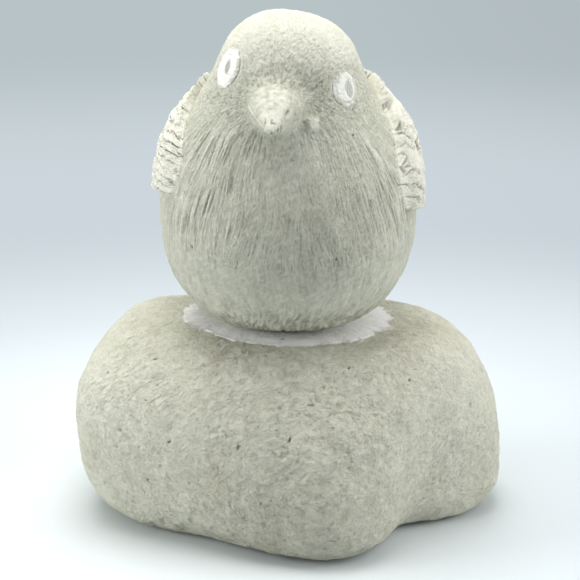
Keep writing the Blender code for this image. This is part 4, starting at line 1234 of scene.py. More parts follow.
def make_bedding(look, material):
    """Filler brushed out round the belly: rings from the belly out to a ragged edge, and back below.

    The edge is an oval times one plus even noise and spikes, which are strongest at the bird's sides.
    """
    rings, around = BEDDING_GRID
    share = np.append(np.linspace(FILLER_INNER_SHARE, 1.0, rings - 2), [1.0, FILLER_INNER_SHARE])
    shares, rounds = every_pair(share, round_turn(around))
    below = np.arange(rings * around) >= (rings - 2) * around
    rim_x = np.cos(rounds) * BED_HALF_WIDTH
    rim_y = np.sin(rounds) * BED_HALF_LENGTH
    rim = np.stack([rim_x, rim_y, np.zeros_like(rounds)], axis=1)
    spiked = 1.0 - 2.0 * np.sqrt(np.abs(layered(rim, FILLER_SPIKES)))
    at_sides = np.abs(np.cos(rounds)) ** 3
    ragged = layered(rim, FILLER_EDGE) + (0.12 + at_sides) * 0.9 * spiked + 0.2 * at_sides
    edge = 1.0 + look.spike_length / BED_HALF_WIDTH * np.clip(ragged, -0.8, 1.0)
    x = rim_x * shares * edge
    y = rim_y * shares * edge
    flat = np.stack([x, y, np.zeros_like(x)], axis=1)
    brushed = grain(np.stack([rounds * 0.02, shares * 0.003, np.zeros_like(x)], axis=1), 0.0006, 94)
    hole = ridge(np.hypot(x - PINHOLE["x"], y - PINHOLE["y"]), PINHOLE["radius"], 4)
    inward = 1.0 - shares
    over = FILLER_FILM + FILLER_WEDGE * inward**1.5 + FILLER_LIP * ramp(inward, 0.0, FILLER_LIP_SHARE)
    over = over + FILLER_BRUSHING * brushed + FILLER_SAND * grain(flat, 0.0005, 95) - PINHOLE["depth"] * hole
    z = rock_height(x, y) + np.where(below, FILLER_SUNK, over)
    # Painted shade down in the pinhole, and a little in the brushing's dips.
    dark = 1.2 * hole + 0.10 * clamped(-brushed)
    marks = tints(dark, 0.5 + 0.4 * brushed, 0.5 * ramp(shares, 0.93, 1.0))
    return wrapped_sheet("bedding", np.stack([x, y, z], axis=1), BEDDING_GRID, marks, material, turned=True)


def make_felt(material):
    """A flat pad with the outline of the rock's foot, its cut edge slightly furred."""
    rounds = round_turn(FELT_AROUND)
    undercut = between_sides(rounds, ROCK_UNDERCUT_RIGHT, ROCK_UNDERCUT_LEFT)
    reach = rock_reach(rounds, np.full(FELT_AROUND, ROCK_FOOT_HEIGHT)) - undercut - FELT_MARGIN
    rim = np.stack([reach * np.cos(rounds), reach * np.sin(rounds), np.zeros(FELT_AROUND)], axis=1)
    furred = rim * (1.0 - FELT_FUR * (1.0 + grain(rim, 0.0007, 96)))[:, None]
    rings = [furred * share + np.array((0.0, 0.0, height * FELT_THICKNESS)) for share, height in FELT_RINGS]
    felt = wrapped_sheet("felt_pad", np.concatenate(rings), (len(rings), FELT_AROUND), {}, material)
    return felt


# Materials

# Resin's noises: size, detail and roughness. A lie is the slant of a noise and how far it is drawn out
CLOUDS = (0.0090, 4.0, 0.60)
PATS = (0.0048, 7.0, 0.66)
GRIT = (0.0009, 6.0, 0.72)
SPECKS = (0.0008, 4.0, 0.78)
FLECKS = (0.0011, 5.0, 0.75)
RISING_SCRATCHES = (0.0007, 4.0, 0.60)
LEVEL_SCRATCHES = (0.0009, 4.0, 0.60)
FLECK_LIE = (0.4, 2.0)
RISING_LIE = (radians(-32.0), 5.0)
LEVEL_LIE = (radians(12.0), 4.0)
DAB_LIE = (radians(-28.0), 2.2)
DAB_SIZE = 0.0016
GRAIN_SIZE = 0.0007
SPECK_BAND = (0.565, 0.640)
RESIN_ROUGHNESS = (0.74, 0.92)
MIDDLE_GREY = (0.5, 0.5, 0.5)

STEEL_RINGS = (0.0009, 5.0)
STEEL_COLOURS = ((0.62, 0.62, 0.62), (0.48, 0.48, 0.49))
STEEL_ROUGHNESS = (0.24, 0.42)
FELT_FIBRES = (0.0004, 5.0, 0.8)
FELT_NAP = 0.0002


def new_material(name):
    """A new surface material, its node tree and its shader."""
    material = bpy.data.materials.new(name)
    material.use_nodes = True
    return material, material.node_tree, material.node_tree.nodes["Principled BSDF"]


def add_place(tree):
    """The Object coordinates that all of a material's patterns share."""
    place = tree.nodes.get("Object place")
    if place is None:
        place = tree.nodes.new("ShaderNodeTexCoord")
        place.name = "Object place"
    return place.outputs["Object"]


def add_noise(tree, size, detail=3.0, roughness=0.6, place=None):
    """Noise whose blobs are about that size across, on Object coordinates unless a place is given."""
    noise = tree.nodes.new("ShaderNodeTexNoise")
    noise.inputs["Scale"].default_value = 1.0 / size
    noise.inputs["Detail"].default_value = detail
    noise.inputs["Roughness"].default_value = roughness
    tree.links.new(place or add_place(tree), noise.inputs["Vector"])
    return noise.outputs["Fac"]


def add_drawn_out(tree, slant, stretch):
    """Object coordinates turned by a slant and squeezed along it, so that noise on them is drawn out."""
    mapping = tree.nodes.new("ShaderNodeMapping")
    mapping.vector_type = "TEXTURE"
    mapping.inputs["Rotation"].default_value = (0.0, slant, 0.0)
    mapping.inputs["Scale"].default_value = (stretch, 1.5, 1.0)
    tree.links.new(add_place(tree), mapping.inputs["Vector"])
    return mapping.outputs["Vector"]


def add_chips(tree, size, place):
    """Flat chips, tipped as the carved ones are.

    Each point's value is its way from a cell's middle, along that cell's own random direction.
    """
    bent = tree.nodes.new("ShaderNodeVectorMath")
    bent.operation = "MULTIPLY_ADD"
    wobble = tree.nodes.new("ShaderNodeTexNoise")
    wobble.inputs["Scale"].default_value = 1.0 / size
    wobble.inputs["Detail"].default_value = 2.0
    tree.links.new(place, wobble.inputs["Vector"])
    tree.links.new(wobble.outputs["Color"], bent.inputs[0])
    bent.inputs[1].default_value = (size, size, size)
    tree.links.new(place, bent.inputs[2])
    cells = tree.nodes.new("ShaderNodeTexVoronoi")
    cells.inputs["Scale"].default_value = 1.0 / size
    tree.links.new(bent.outputs["Vector"], cells.inputs["Vector"])
    away = tree.nodes.new("ShaderNodeVectorMath")
    away.operation = "SUBTRACT"
    tree.links.new(bent.outputs["Vector"], away.inputs[0])
    tree.links.new(cells.outputs["Position"], away.inputs[1])
    lean = tree.nodes.new("ShaderNodeVectorMath")
    lean.operation = "SUBTRACT"
    tree.links.new(cells.outputs["Color"], lean.inputs[0])
    lean.inputs[1].default_value = MIDDLE_GREY
    product = tree.nodes.new("ShaderNodeVectorMath")
    product.operation = "DOT_PRODUCT"
    tree.links.new(away.outputs["Vector"], product.inputs[0])
    tree.links.new(lean.outputs["Vector"], product.inputs[1])
    return add_sum(tree, [(product.outputs["Value"], 1.0 / size)])


def add_sum(tree, shares):
    """Several values added up, each times its own share."""
    total = None
    for value, share in shares:
        node = tree.nodes.new("ShaderNodeMath")
        node.operation = "MULTIPLY_ADD"
        tree.links.new(value, node.inputs[0])
        node.inputs[1].default_value = share
        node.inputs[2].default_value = 0.0
        if total is not None:
            tree.links.new(total, node.inputs[2])
        total = node.outputs[0]
    return total


def add_range(tree, value, low, high, to_low=0.0, to_high=1.0):
    node = tree.nodes.new("ShaderNodeMapRange")
    node.interpolation_type = "SMOOTHSTEP"
    node.inputs["From Min"].default_value = low
    node.inputs["From Max"].default_value = high
    node.inputs["To Min"].default_value = to_low
    node.inputs["To Max"].default_value = to_high
    tree.links.new(value, node.inputs["Value"])
    return node.outputs["Result"]


def add_mark(tree, label, most):
    """One of the piece's own marks, scaled to the most that it may tint."""
    mark = tree.nodes.new("ShaderNodeAttribute")
    mark.attribute_name = label
    return add_range(tree, mark.outputs["Fac"], 0.0, 1.0, 0.0, most)


def add_tint(tree, share, below, tint):
    """Colour below turned towards a tint by a share. Either colour is a node's output or plain numbers."""
    node = tree.nodes.new("ShaderNodeMix")
    node.data_type = "RGBA"
    tree.links.new(share, node.inputs["Factor"])
    for socket, colour in ((node.inputs[6], below), (node.inputs[7], tint)):
        if isinstance(colour, bpy.types.NodeSocket):
            tree.links.new(colour, socket)
        else:
            socket.default_value = (*colour, 1.0)
    return node.outputs[2]


def add_bump(tree, shader, height, depth=1.0):
    """Relief of the shading: the height times the depth, in metres."""
    bump = tree.nodes.new("ShaderNodeBump")
    bump.inputs["Strength"].default_value = 1.0
    bump.inputs["Distance"].default_value = depth
    tree.links.new(height, bump.inputs["Height"])
    tree.links.new(bump.outputs["Normal"], shader.inputs["Normal"])


def cast_resin(name, look):
    """Stone-filled resin: speckled and mottled, darker in its cuts as painted shade, and pale where it is
    rubbed chalky and where a painted highlight lies.
    """
    material, tree, shader = new_material(name)
    pats = add_noise(tree, *PATS)
    grit = add_noise(tree, *GRIT)
    rising = add_noise(tree, *RISING_SCRATCHES, add_drawn_out(tree, *RISING_LIE))
    level = add_noise(tree, *LEVEL_SCRATCHES, add_drawn_out(tree, *LEVEL_LIE))
    dabs = add_chips(tree, DAB_SIZE, add_drawn_out(tree, *DAB_LIE))
    grains = add_chips(tree, GRAIN_SIZE, add_place(tree))
    flecks = add_noise(tree, *FLECKS, add_drawn_out(tree, *FLECK_LIE))
    layers = (
        (add_range(tree, add_noise(tree, *CLOUDS), 0.35, 0.67, 0.0, 0.7), look.cloud_colour),
        (add_range(tree, pats, 0.36, 0.60, look.mottle, 0.0), look.speck_colour),
        (add_range(tree, add_noise(tree, *SPECKS), *SPECK_BAND, 0.0, look.speckle), look.speck_colour),
        (add_range(tree, flecks, *SPECK_BAND, 0.0, look.flecks), look.chalk_and_highlight_colour),
        (add_range(tree, dabs, -0.10, 0.16, 0.0, look.flecks), look.chalk_and_highlight_colour),
        # The last three tints follow the piece's marks: stain, then the pale mark with its painted
        # highlights, then the dark mark with its painted shade.
        (add_mark(tree, "stain", look.stain), look.stain_colour),
        (add_mark(tree, "chalk", look.chalk), look.chalk_and_highlight_colour),
        (add_mark(tree, "hollow", look.hollow), look.hollow_colour),
    )
    colour = look.colour
    for share, tint in layers:
        colour = add_tint(tree, share, colour, tint)
    tree.links.new(colour, shader.inputs["Base Color"])
    tree.links.new(add_range(tree, grit, 0.3, 0.7, *RESIN_ROUGHNESS), shader.inputs["Roughness"])
    shader.inputs["Specular IOR Level"].default_value = 0.3
    heights = (
        (pats, look.pats),
        (grit, look.grit),
        (rising, look.brushing),
        (level, look.brushing),
        (dabs, look.dabs),
        (grains, look.grains),
    )
    add_bump(tree, shader, add_sum(tree, heights))
    return material


def drawn_steel():
    """Bare steel rod with fine rings of the drawing die."""
    material, tree, shader = new_material("dowel_steel")
    rings = add_range(tree, add_noise(tree, *STEEL_RINGS), 0.35, 0.65, *STEEL_ROUGHNESS)
    tree.links.new(add_tint(tree, rings, *STEEL_COLOURS), shader.inputs["Base Color"])
    tree.links.new(rings, shader.inputs["Roughness"])
    shader.inputs["Metallic"].default_value = 1.0
    return material


def pressed_felt(look):
    """Dark felt: matted fibres of two tones, with a soft sheen."""
    material, tree, shader = new_material("base_felt")
    fibres = add_range(tree, add_noise(tree, *FELT_FIBRES), 0.35, 0.65)
    tree.links.new(add_tint(tree, fibres, look.colour, look.fibre_colour), shader.inputs["Base Color"])
    shader.inputs["Roughness"].default_value = 0.95
    shader.inputs["Sheen Weight"].default_value = 0.25
    add_bump(tree, shader, fibres, FELT_NAP)
    return material


# Settings


def colour_setting(name, description, default):
    return FloatVectorProperty(
        name=name, description=description, subtype="COLOR", size=3, min=0.0, max=1.0, default=default
    )


def length_setting(name, description, default):
    return FloatProperty(
        name=name, description=description, subtype="DISTANCE", unit="LENGTH", precision=5, default=default
    )


def share_setting(name, description, default):
    return FloatProperty(
        name=name, description=description, subtype="FACTOR", min=0.0, max=1.0, default=default
    )


def power_setting(name, description, default):
    return FloatProperty(name=name, description=description, unit="POWER", min=0.0, default=default)


class ResinLook:
    """Colours and grain that every cast and filled surface has."""

    # The body keeps this colour, set darker than the rock's: painted shade on the bird's body.
    colour: colour_setting("Colour", "Main colour of the cast", (0.550, 0.552, 0.448))
    cloud_colour: colour_setting("Cloud colour", "Colour of the broad paler clouds", (0.590, 0.592, 0.488))
    speck_colour: colour_setting("Speck colour", "Colour of the fine dark specks", (0.37, 0.36, 0.28))
    stain_colour: colour_setting("Stain colour", "Warm colour of the handled patches", (0.53, 0.48, 0.36))
    # The colour of rubbed places is also that of the painted highlights, and the colour down in cuts that of
    # the painted shade.
    chalk_and_highlight_colour: colour_setting("Chalk colour", "Colour where the surface is rubbed", (0.86, 0.85, 0.75))
    hollow_colour: colour_setting("Hollow colour", "Colour down in cuts and pits", (0.17, 0.17, 0.13))
    mottle: share_setting("Mottle", "How strong the small dull patches are", 0.25)
    speckle: share_setting("Speckle", "How strong the specks are", 0.60)
    flecks: share_setting("Flecks", "How strong the pale flecks are", 0.30)
    stain: share_setting("Stain", "How strong the stains are", 0.35)
    chalk: share_setting("Chalk", "How strong the rubbed places are", 0.45)
    hollow: share_setting("Hollow", "How dark the cuts are", 0.80)
    pats: length_setting("Pats", "Height of the rough pats in the shading", 0.00035)
    grit: length_setting("Grit", "Height of the fine grit", 0.00034)
    brushing: length_setting("Brushing", "Height of the fine scratches in the shading", 0.0)
    dabs: length_setting("Dabs", "Height of the chipped dabs", 0.00028)
    grains: length_setting("Grains", "Height of the smallest chips", 0.00012)


class RockLook(ResinLook, PropertyGroup):
    """Carving and finish of the boulder."""

    colour: colour_setting("Colour", "Main colour of the cast", (0.72, 0.715, 0.580))
    cloud_colour: colour_setting("Cloud colour", "Colour of the broad paler clouds", (0.80, 0.79, 0.64))
    mottle: share_setting("Mottle", "How strong the small dull patches are", 0.20)
    speckle: share_setting("Speckle", "How strong the specks are", 0.70)
    flecks: share_setting("Flecks", "How strong the pale flecks are", 0.45)
    pats: length_setting("Pats", "Height of the rough pats in the shading", 0.00240)
    grit: length_setting("Grit", "Height of the fine grit", 0.00045)
    brushing: length_setting("Brushing", "Height of the fine scratches in the shading", 0.00055)
    dabs: length_setting("Dabs", "Height of the chipped dabs", 0.00055)
    grains: length_setting("Grains", "Height of the smallest chips", 0.00016)
    lump_depth: length_setting("Lump depth", "Depth of the broad lumps", 0.00070)
    plane_depth: length_setting("Plane depth", "Depth of the flat knocked places", 0.00024)
    pat_depth: length_setting("Pat depth", "Depth of the small pats and dents", 0.00020)
    scratch_depth: length_setting("Scratch depth", "Depth of the scratches", 0.00028)


class PlumageLook(ResinLook, PropertyGroup):
    """Carving of the bird's body, and finish of its body, beak and tail."""

    flecks: share_setting("Flecks", "How strong the pale flecks are", 0.18)
    dabs: length_setting("Dabs", "Height of the chipped dabs", 0.00016)
    strand_width: length_setting("Strand width", "Width of one carved strand", 0.00026)
    strand_depth: length_setting("Strand depth", "Depth of the cuts between strands", 0.00015)
    tuft_depth: length_setting("Tuft depth", "Depth of the swells that group the strands", 0.00014)
    lump_depth: length_setting("Lump depth", "Depth of the low swells under the plumage", 0.00020)


class WingLook(ResinLook, PropertyGroup):
    """Carving and finish of the two wings."""

    # Set paler than the body's colour: a painted highlight where the wings catch the side light.
    colour: colour_setting("Colour", "Main colour of the cast", (0.80, 0.79, 0.68))
    cloud_colour: colour_setting("Cloud colour", "Colour of the broad paler clouds", (0.86, 0.85, 0.75))
    feather_width: length_setting("Feather width", "Width of one feather", 0.0024)
    feather_length: length_setting("Feather length", "Length of one feather that shows", 0.0085)
    feather_step: length_setting("Feather step", "Rise of each feather over the next", 0.00055)
    gap_depth: length_setting("Gap depth", "Depth of the cuts between feathers", 0.00060)
    barb_pitch: length_setting("Barb pitch", "Distance from one barb to the next", 0.00085)
    barb_depth: length_setting("Barb depth", "Depth of the cuts between barbs", 0.00019)
    rim_rounding: length_setting("Rim rounding", "Width of the rounded rim", 0.00100)
    front_easing: length_setting("Front easing", "Width over which the front edge sinks in", 0.00350)


class FillerLook(ResinLook, PropertyGroup):
    """Shape and finish of the white filler round the belly."""

    colour: colour_setting("Colour", "Main colour of the filler", (0.95, 0.95, 0.95))
    cloud_colour: colour_setting("Cloud colour", "Colour of the broad paler clouds", (0.97, 0.97, 0.97))
    speck_colour: colour_setting("Speck colour", "Colour of the fine dark specks", (0.66, 0.66, 0.62))
    chalk_and_highlight_colour: colour_setting("Chalk colour", "Colour where the brush left it thick", (0.98, 0.98, 0.98))
    # The pinhole's colour is painted shade.
    hollow_colour: colour_setting("Hollow colour", "Colour down in the pinhole", (0.05, 0.05, 0.05))
    mottle: share_setting("Mottle", "How strong the small dull patches are", 0.04)
    speckle: share_setting("Speckle", "How strong the specks are", 0.20)
    hollow: share_setting("Hollow", "How dark the pinhole is", 0.95)
    spike_length: length_setting("Spike length", "Length of the brushed-out spikes", 0.0016)


class EyeLook(ResinLook, PropertyGroup):
    """Shape and finish of the eyes."""

    colour: colour_setting("Colour", "Main colour of the eye's filler", (0.90, 0.90, 0.85))
    cloud_colour: colour_setting("Cloud colour", "Colour of the broad paler clouds", (0.93, 0.93, 0.88))
    speck_colour: colour_setting("Speck colour", "Colour of the fine dark specks", (0.72, 0.72, 0.66))
    stain_colour: colour_setting("Stain colour", "Colour where the filler thins out", (0.60, 0.59, 0.49))
    chalk_and_highlight_colour: colour_setting("Chalk colour", "Colour where the filler is thick", (0.96, 0.955, 0.90))
    hollow_colour: colour_setting("Hollow colour", "Colour down in the pupil", (0.34, 0.35, 0.32))
    speckle: share_setting("Speckle", "How strong the specks are", 0.25)
    stain: share_setting("Stain", "How strongly the thin places are toned down", 0.90)
    chalk: share_setting("Chalk", "How strong the thick places are", 0.80)
    hollow: share_setting("Hollow", "How dark the pupil is", 0.80)
    pupil_half_width: length_setting("Pupil half width", "Half of the pupil's width", 0.00090)
    pupil_half_height: length_setting("Pupil half height", "Half of the pupil's height", 0.00190)
    pupil_side: length_setting("Pupil place", "How far the pupil lies from the eye's middle", 0.00090)


class FeltLook(PropertyGroup):
    """Finish of the felt under the rock."""

    colour: colour_setting("Colour", "Ground colour of the felt", (0.030, 0.034, 0.030))
    fibre_colour: colour_setting("Fibre colour", "Colour of the paler fibres", (0.075, 0.082, 0.075))


class StageLook(PropertyGroup):
    """Floor, light and camera."""

    near_colour: colour_setting("Near floor", "Colour of the floor round the object", (0.735, 0.785, 0.795))
    middle_colour: colour_setting("Middle floor", "Colour of the floor a little further", (0.56, 0.61, 0.64))
    back_colour: colour_setting("Backdrop", "Colour of the backdrop behind the object", (0.605, 0.675, 0.720))
    far_colour: colour_setting("Far backdrop", "Colour of the backdrop far away", (0.480, 0.545, 0.567))
    ambient_colour: colour_setting("Ambient colour", "Colour of the light from all round", (0.98, 1.0, 1.0))
    ambient: share_setting("Ambient", "Strength of the light from all round", 0.20)
    top_power: power_setting("Top light", "Power of the light above", 2.9)
    left_power: power_setting("Left light", "Power of the light on the viewer's left", 4.2)
    right_power: power_setting("Right light", "Power of the light on the viewer's right", 2.8)
    high_right_power: power_setting("High right light", "Power of the light high on the viewer's right", 1.6)
    back_power: power_setting("Back light", "Power of the light behind the object", 1.5)
    camera_distance: length_setting("Camera distance", "From the camera to the object's middle", 0.450)
    camera_elevation: FloatProperty(
        name="Camera elevation",
        description="Height of the view above level",
        subtype="ANGLE",
        unit="ROTATION",
        default=radians(15.0),
    )
    lens: FloatProperty(name="Lens", description="Focal length of the camera", unit="CAMERA", default=111.72)


# Operators


def attach(piece, slot, *nodes):
    """The piece rides on the model's one body and stands for these solids. Its slot is not used."""
    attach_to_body(piece, "root")
    if nodes:
        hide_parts(*nodes)


class BIRD_OT_rock(Operator):
    """Make the boulder in three upright wedges"""

    bl_idname = "bird.rock"
    bl_label = "Make rock"

    def execute(self, context):
        look = context.scene.bird_rock
        material = cast_resin("rock_resin", look)
        parts = (
            ("rock_front_left", -180.0, -90.0, ROCK_FRONT_COLUMNS),
            ("rock_front_right", -90.0, 0.0, ROCK_FRONT_COLUMNS),
            ("rock_back", 0.0, 180.0, ROCK_BACK_COLUMNS),
        )
        for name, from_bearing, to_bearing, columns in parts:
            piece = make_rock_part(name, from_bearing, to_bearing, columns, look, material)
            attach(piece, "rock_resin", *(("rock_base",) if name == "rock_front_left" else ()))
        return {"FINISHED"}


class BIRD_OT_plumage(Operator):
    """Make the bird's feathered skin in nine parts, with its beak and tail"""

    bl_idname = "bird.plumage"
    bl_label = "Make plumage"

    def execute(self, context):
        look = context.scene.bird_plumage
        material = cast_resin("bird_resin", look)
        tilt = radians(SKIN_CUBE_TILT)
        ahead = (0.0, -cos(tilt), sin(tilt))
        above = (0.0, sin(tilt), cos(tilt))
        left = (1.0, 0.0, 0.0)
        whole = (-1.0, 1.0)
        lower, upper = (-1.0, 0.0), (0.0, 1.0)
        parts = {
            "skin_front": (ahead, left, SKIN_FRONT_STEPS, (lower, lower)),
            "skin_front_left": (ahead, left, SKIN_FRONT_STEPS, (upper, lower)),
            "skin_front_high": (ahead, left, SKIN_FRONT_STEPS, (lower, upper)),
            "skin_front_high_left": (ahead, left, SKIN_FRONT_STEPS, (upper, upper)),
            "skin_back": (tuple(-value for value in ahead), left, SKIN_FAR_STEPS, (whole, whole)),
            "skin_top": (above, left, SKIN_SIDE_STEPS, (whole, whole)),
            "skin_under": (tuple(-value for value in above), left, SKIN_FAR_STEPS, (whole, whole)),
            "skin_left": (left, above, SKIN_SIDE_STEPS, (whole, whole)),
            "skin_right": ((-1.0, 0.0, 0.0), above, SKIN_SIDE_STEPS, (whole, whole)),
        }
        for name, (facing, right, steps, spans) in parts.items():
            piece = make_skin_part(name, facing, right, look, material, steps, spans)
            attach(piece, "bird_resin", *(("bird_body",) if name == "skin_front" else ()))
        attach(make_beak(material), "bird_resin")
        attach(make_tail(material), "bird_resin")
        return {"FINISHED"}


class BIRD_OT_wings(Operator):
    """Make the two feathered wings"""

    bl_idname = "bird.wings"
    bl_label = "Make wings"

    def execute(self, context):
        look = context.scene.bird_wings
        material = cast_resin("wing_resin", look)
        for name, side in (("left_wing", 1.0), ("right_wing", -1.0)):
            attach(make_wing(f"{name}_feathers", side, look, material), "wing_resin", name)
        return {"FINISHED"}


class BIRD_OT_eyes(Operator):
    """Make the two eyes"""

    bl_idname = "bird.eyes"
    bl_label = "Make eyes"

    def execute(self, context):
        look = context.scene.bird_eyes
        material = cast_resin("eye_white", look)
        for name, side in (("left_eye", 1.0), ("right_eye", -1.0)):
            attach(make_eye(f"{name}_dome", side, look, material), "eye_white", name)
        return {"FINISHED"}


class BIRD_OT_bedding(Operator):
    """Make the filler round the belly"""

    bl_idname = "bird.bedding"
    bl_label = "Make bedding"

    def execute(self, context):
        look = context.scene.bird_filler
        attach(make_bedding(look, cast_resin("white_filler", look)), "white_filler", "bedding_ring")
        return {"FINISHED"}


class BIRD_OT_felt(Operator):
    """Make the felt under the rock"""

    bl_idname = "bird.felt"
    bl_label = "Make felt"

    def execute(self, context):
        look = context.scene.bird_felt
        attach(make_felt(pressed_felt(look)), "base_felt", "felt_base")
        return {"FINISHED"}


class BIRD_OT_dowels(Operator):
    """Give the two steel dowels their finish"""

    bl_idname = "bird.dowels"
    bl_label = "Finish dowels"

    def execute(self, context):
        steel = drawn_steel()
        for name in ("front_dowel", "rear_dowel"):
            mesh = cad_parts[name].data
            mesh.materials.clear()
            mesh.materials.append(steel)
        return {"FINISHED"}


def add_lamp(name, place, power):
    """A square lamp, aimed at the object's middle."""
    lamp = bpy.data.lights.new(name, "AREA")
    lamp.size = LAMP_SIZE
    lamp.energy = power
    holder = bpy.data.objects.new(name, lamp)
    holder.location = place
    holder.rotation_euler = (Vector(LAMP_AIM) - Vector(place)).to_track_quat("-Z", "Y").to_euler()
    bpy.context.scene.collection.objects.link(holder)
    return holder


def add_seen(tree):
    """1 for rays that show the surface itself: from the camera, in a gloss or through glass."""
    path = tree.nodes.new("ShaderNodeLightPath")
    rays = ("Is Camera Ray", "Is Glossy Ray", "Is Transmission Ray")
    return add_sum(tree, [(path.outputs[ray], 1.0) for ray in rays])


# Floor and backdrop: bands of the distance from the object, or of the way to the viewer's right. The floor's
# pale ring round the object is a painted pool of light, and the darkening to the viewer's right, on floor and
# backdrop, is painted shade.
FLOOR_PALE_BAND = (0.06, 0.20)
FLOOR_RIGHT_BAND = (-0.02, 0.10)
FLOOR_RIGHT_SHARE = 0.70
BACKDROP_BAND = (0.15, 0.34)
BACKDROP_FAR_BAND = (0.40, 0.90)
BACKDROP_RIGHT_BAND = (0.0, 0.25)
BACKDROP_RIGHT_SHARE = 0.07
BLACK = (0.0, 0.0, 0.0)


def floor_paper(look):
    """Paper painted paler round the object as a pool of light and darker to the viewer's right as shade, then
    a glow far away that darkens with distance and is also shaded to the viewer's right.
    """
    material, tree, shader = new_material("floor_paper")
    length = tree.nodes.new("ShaderNodeVectorMath")
    length.operation = "LENGTH"
    tree.links.new(add_place(tree), length.inputs[0])
    distance = length.outputs["Value"]
    sides = tree.nodes.new("ShaderNodeSeparateXYZ")
    tree.links.new(add_place(tree), sides.inputs[0])
    rightward = add_range(tree, sides.outputs["X"], *FLOOR_RIGHT_BAND, 0.0, FLOOR_RIGHT_SHARE)
    near = add_tint(tree, rightward, look.near_colour, look.middle_colour)
    paper = add_tint(tree, add_range(tree, distance, *FLOOR_PALE_BAND), near, look.middle_colour)
    tree.links.new(paper, shader.inputs["Base Color"])
    shader.inputs["Roughness"].default_value = 0.9
    shader.inputs["Specular IOR Level"].default_value = 0.1
    backdrop = tree.nodes.new("ShaderNodeEmission")
    far = add_range(tree, distance, *BACKDROP_FAR_BAND)
    dulled = add_range(tree, sides.outputs["X"], *BACKDROP_RIGHT_BAND, 0.0, BACKDROP_RIGHT_SHARE)
    glow = add_tint(tree, dulled, add_tint(tree, far, look.back_colour, look.far_colour), BLACK)
    tree.links.new(glow, backdrop.inputs["Color"])
    share = tree.nodes.new("ShaderNodeMath")
    share.operation = "MULTIPLY"
    share.use_clamp = True
    tree.links.new(add_range(tree, distance, *BACKDROP_BAND), share.inputs[0])
    tree.links.new(add_seen(tree), share.inputs[1])
    output = tree.nodes["Material Output"]
    add_mixed_output(tree, share.outputs[0], shader.outputs["BSDF"], backdrop.outputs["Emission"], output)
    return material


def add_mixed_output(tree, share, below, above, output):
    """The one surface turned into the other by a share, as what the tree puts out."""
    mix = tree.nodes.new("ShaderNodeMixShader")
    tree.links.new(share, mix.inputs["Fac"])
    tree.links.new(below, mix.inputs[1])
    tree.links.new(above, mix.inputs[2])
    tree.links.new(mix.outputs["Shader"], output.inputs["Surface"])


def make_floor(look):
    """A flat disc under the object."""
    rounds = round_turn(FLOOR_AROUND)
    points = FLOOR_REACH * np.stack([np.cos(rounds), np.sin(rounds), np.zeros(FLOOR_AROUND)], axis=1)
    mesh = bpy.data.meshes.new("floor")
    mesh.from_pydata(points.tolist(), [], [list(range(FLOOR_AROUND))])
    mesh.materials.append(floor_paper(look))
    floor = bpy.data.objects.new("floor", mesh)
    bpy.context.scene.collection.objects.link(floor)
    return floor


def make_surround(look):
    """Even light from all round; what shows of it has the far backdrop's colour."""
    world = bpy.data.worlds.new("surround")
    world.use_nodes = True
    tree = world.node_tree
    background = tree.nodes["Background"]
    background.inputs["Color"].default_value = (*look.ambient_colour, 1.0)
    background.inputs["Strength"].default_value = look.ambient
    seen = tree.nodes.new("ShaderNodeBackground")
    seen.inputs["Color"].default_value = (*look.far_colour, 1.0)
    surfaces = (background.outputs["Background"], seen.outputs["Background"])
    add_mixed_output(tree, add_seen(tree), *surfaces, tree.nodes["World Output"])
    return world


def make_camera(look):
    """A camera that looks down on the object's middle from in front."""
    camera = bpy.data.objects.new("camera", bpy.data.cameras.new("camera"))
    camera.data.lens = look.lens
    camera.data.clip_start = CAMERA_NEAREST
    back = Vector((0.0, -cos(look.camera_elevation), sin(look.camera_elevation)))
    camera.location = Vector(CAMERA_AIM) + back * look.camera_distance
    camera.rotation_euler = (-back).to_track_quat("-Z", "Y").to_euler()
    bpy.context.scene.collection.objects.link(camera)
    return camera


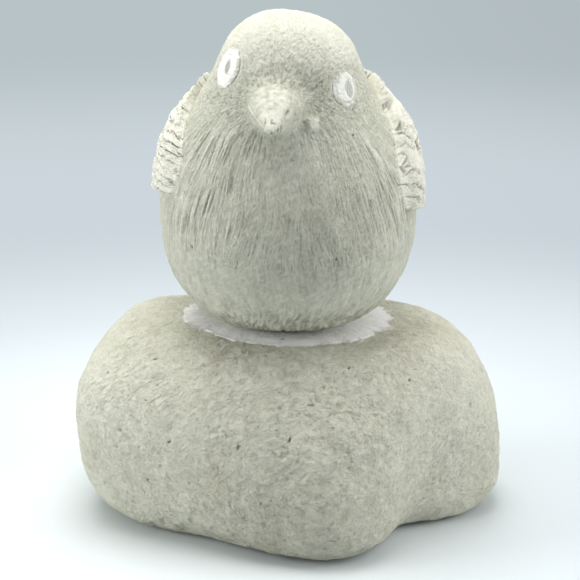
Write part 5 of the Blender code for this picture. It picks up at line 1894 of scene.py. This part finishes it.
class BIRD_OT_stage(Operator):
    """Set the floor, the lights and the camera"""

    bl_idname = "bird.stage"
    bl_label = "Set stage"

    def execute(self, context):
        scene = context.scene
        look = scene.bird_stage
        floor = make_floor(look)
        powers = {name: getattr(look, f"{name}_power") for name in LAMPS}
        lamps = [add_lamp(f"{name}_light", place, powers[name]) for name, place in LAMPS.items()]
        scene.world = make_surround(look)
        scene.view_settings.view_transform = "Standard"
        scene.camera = make_camera(look)
        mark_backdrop(floor, scene.camera, *lamps)
        return {"FINISHED"}


class BIRD_PT_pieces(Panel):
    """Lists the pieces and their settings"""

    bl_label = "Resin bird"
    bl_idname = "BIRD_PT_pieces"
    bl_space_type = "VIEW_3D"
    bl_region_type = "UI"
    bl_category = "Bird"

    def draw(self, context):
        for operator in OPERATORS:
            self.layout.operator(operator.bl_idname)
        for name in SETTINGS:
            group = getattr(context.scene, name)
            box = self.layout.box()
            box.label(text=name.replace("_", " ").capitalize())
            for setting in group.bl_rna.properties.keys():
                if setting not in ("rna_type", "name"):
                    box.prop(group, setting)


SETTINGS = {
    "bird_rock": RockLook,
    "bird_plumage": PlumageLook,
    "bird_wings": WingLook,
    "bird_filler": FillerLook,
    "bird_eyes": EyeLook,
    "bird_felt": FeltLook,
    "bird_stage": StageLook,
}
OPERATORS = (
    BIRD_OT_rock,
    BIRD_OT_plumage,
    BIRD_OT_wings,
    BIRD_OT_eyes,
    BIRD_OT_bedding,
    BIRD_OT_felt,
    BIRD_OT_dowels,
    BIRD_OT_stage,
)


def register():
    for group in (*SETTINGS.values(), *OPERATORS, BIRD_PT_pieces):
        bpy.utils.register_class(group)
    for name, group in SETTINGS.items():
        setattr(bpy.types.Scene, name, PointerProperty(type=group))


def unregister():
    for name in SETTINGS:
        delattr(bpy.types.Scene, name)
    for group in (BIRD_PT_pieces, *OPERATORS, *SETTINGS.values()):
        bpy.utils.unregister_class(group)


def main():
    register()
    bpy.ops.bird.rock()
    bpy.ops.bird.plumage()
    bpy.ops.bird.wings()
    bpy.ops.bird.eyes()
    bpy.ops.bird.bedding()
    bpy.ops.bird.felt()
    bpy.ops.bird.dowels()
    bpy.ops.bird.stage()


if __name__ == "__main__":
    main()
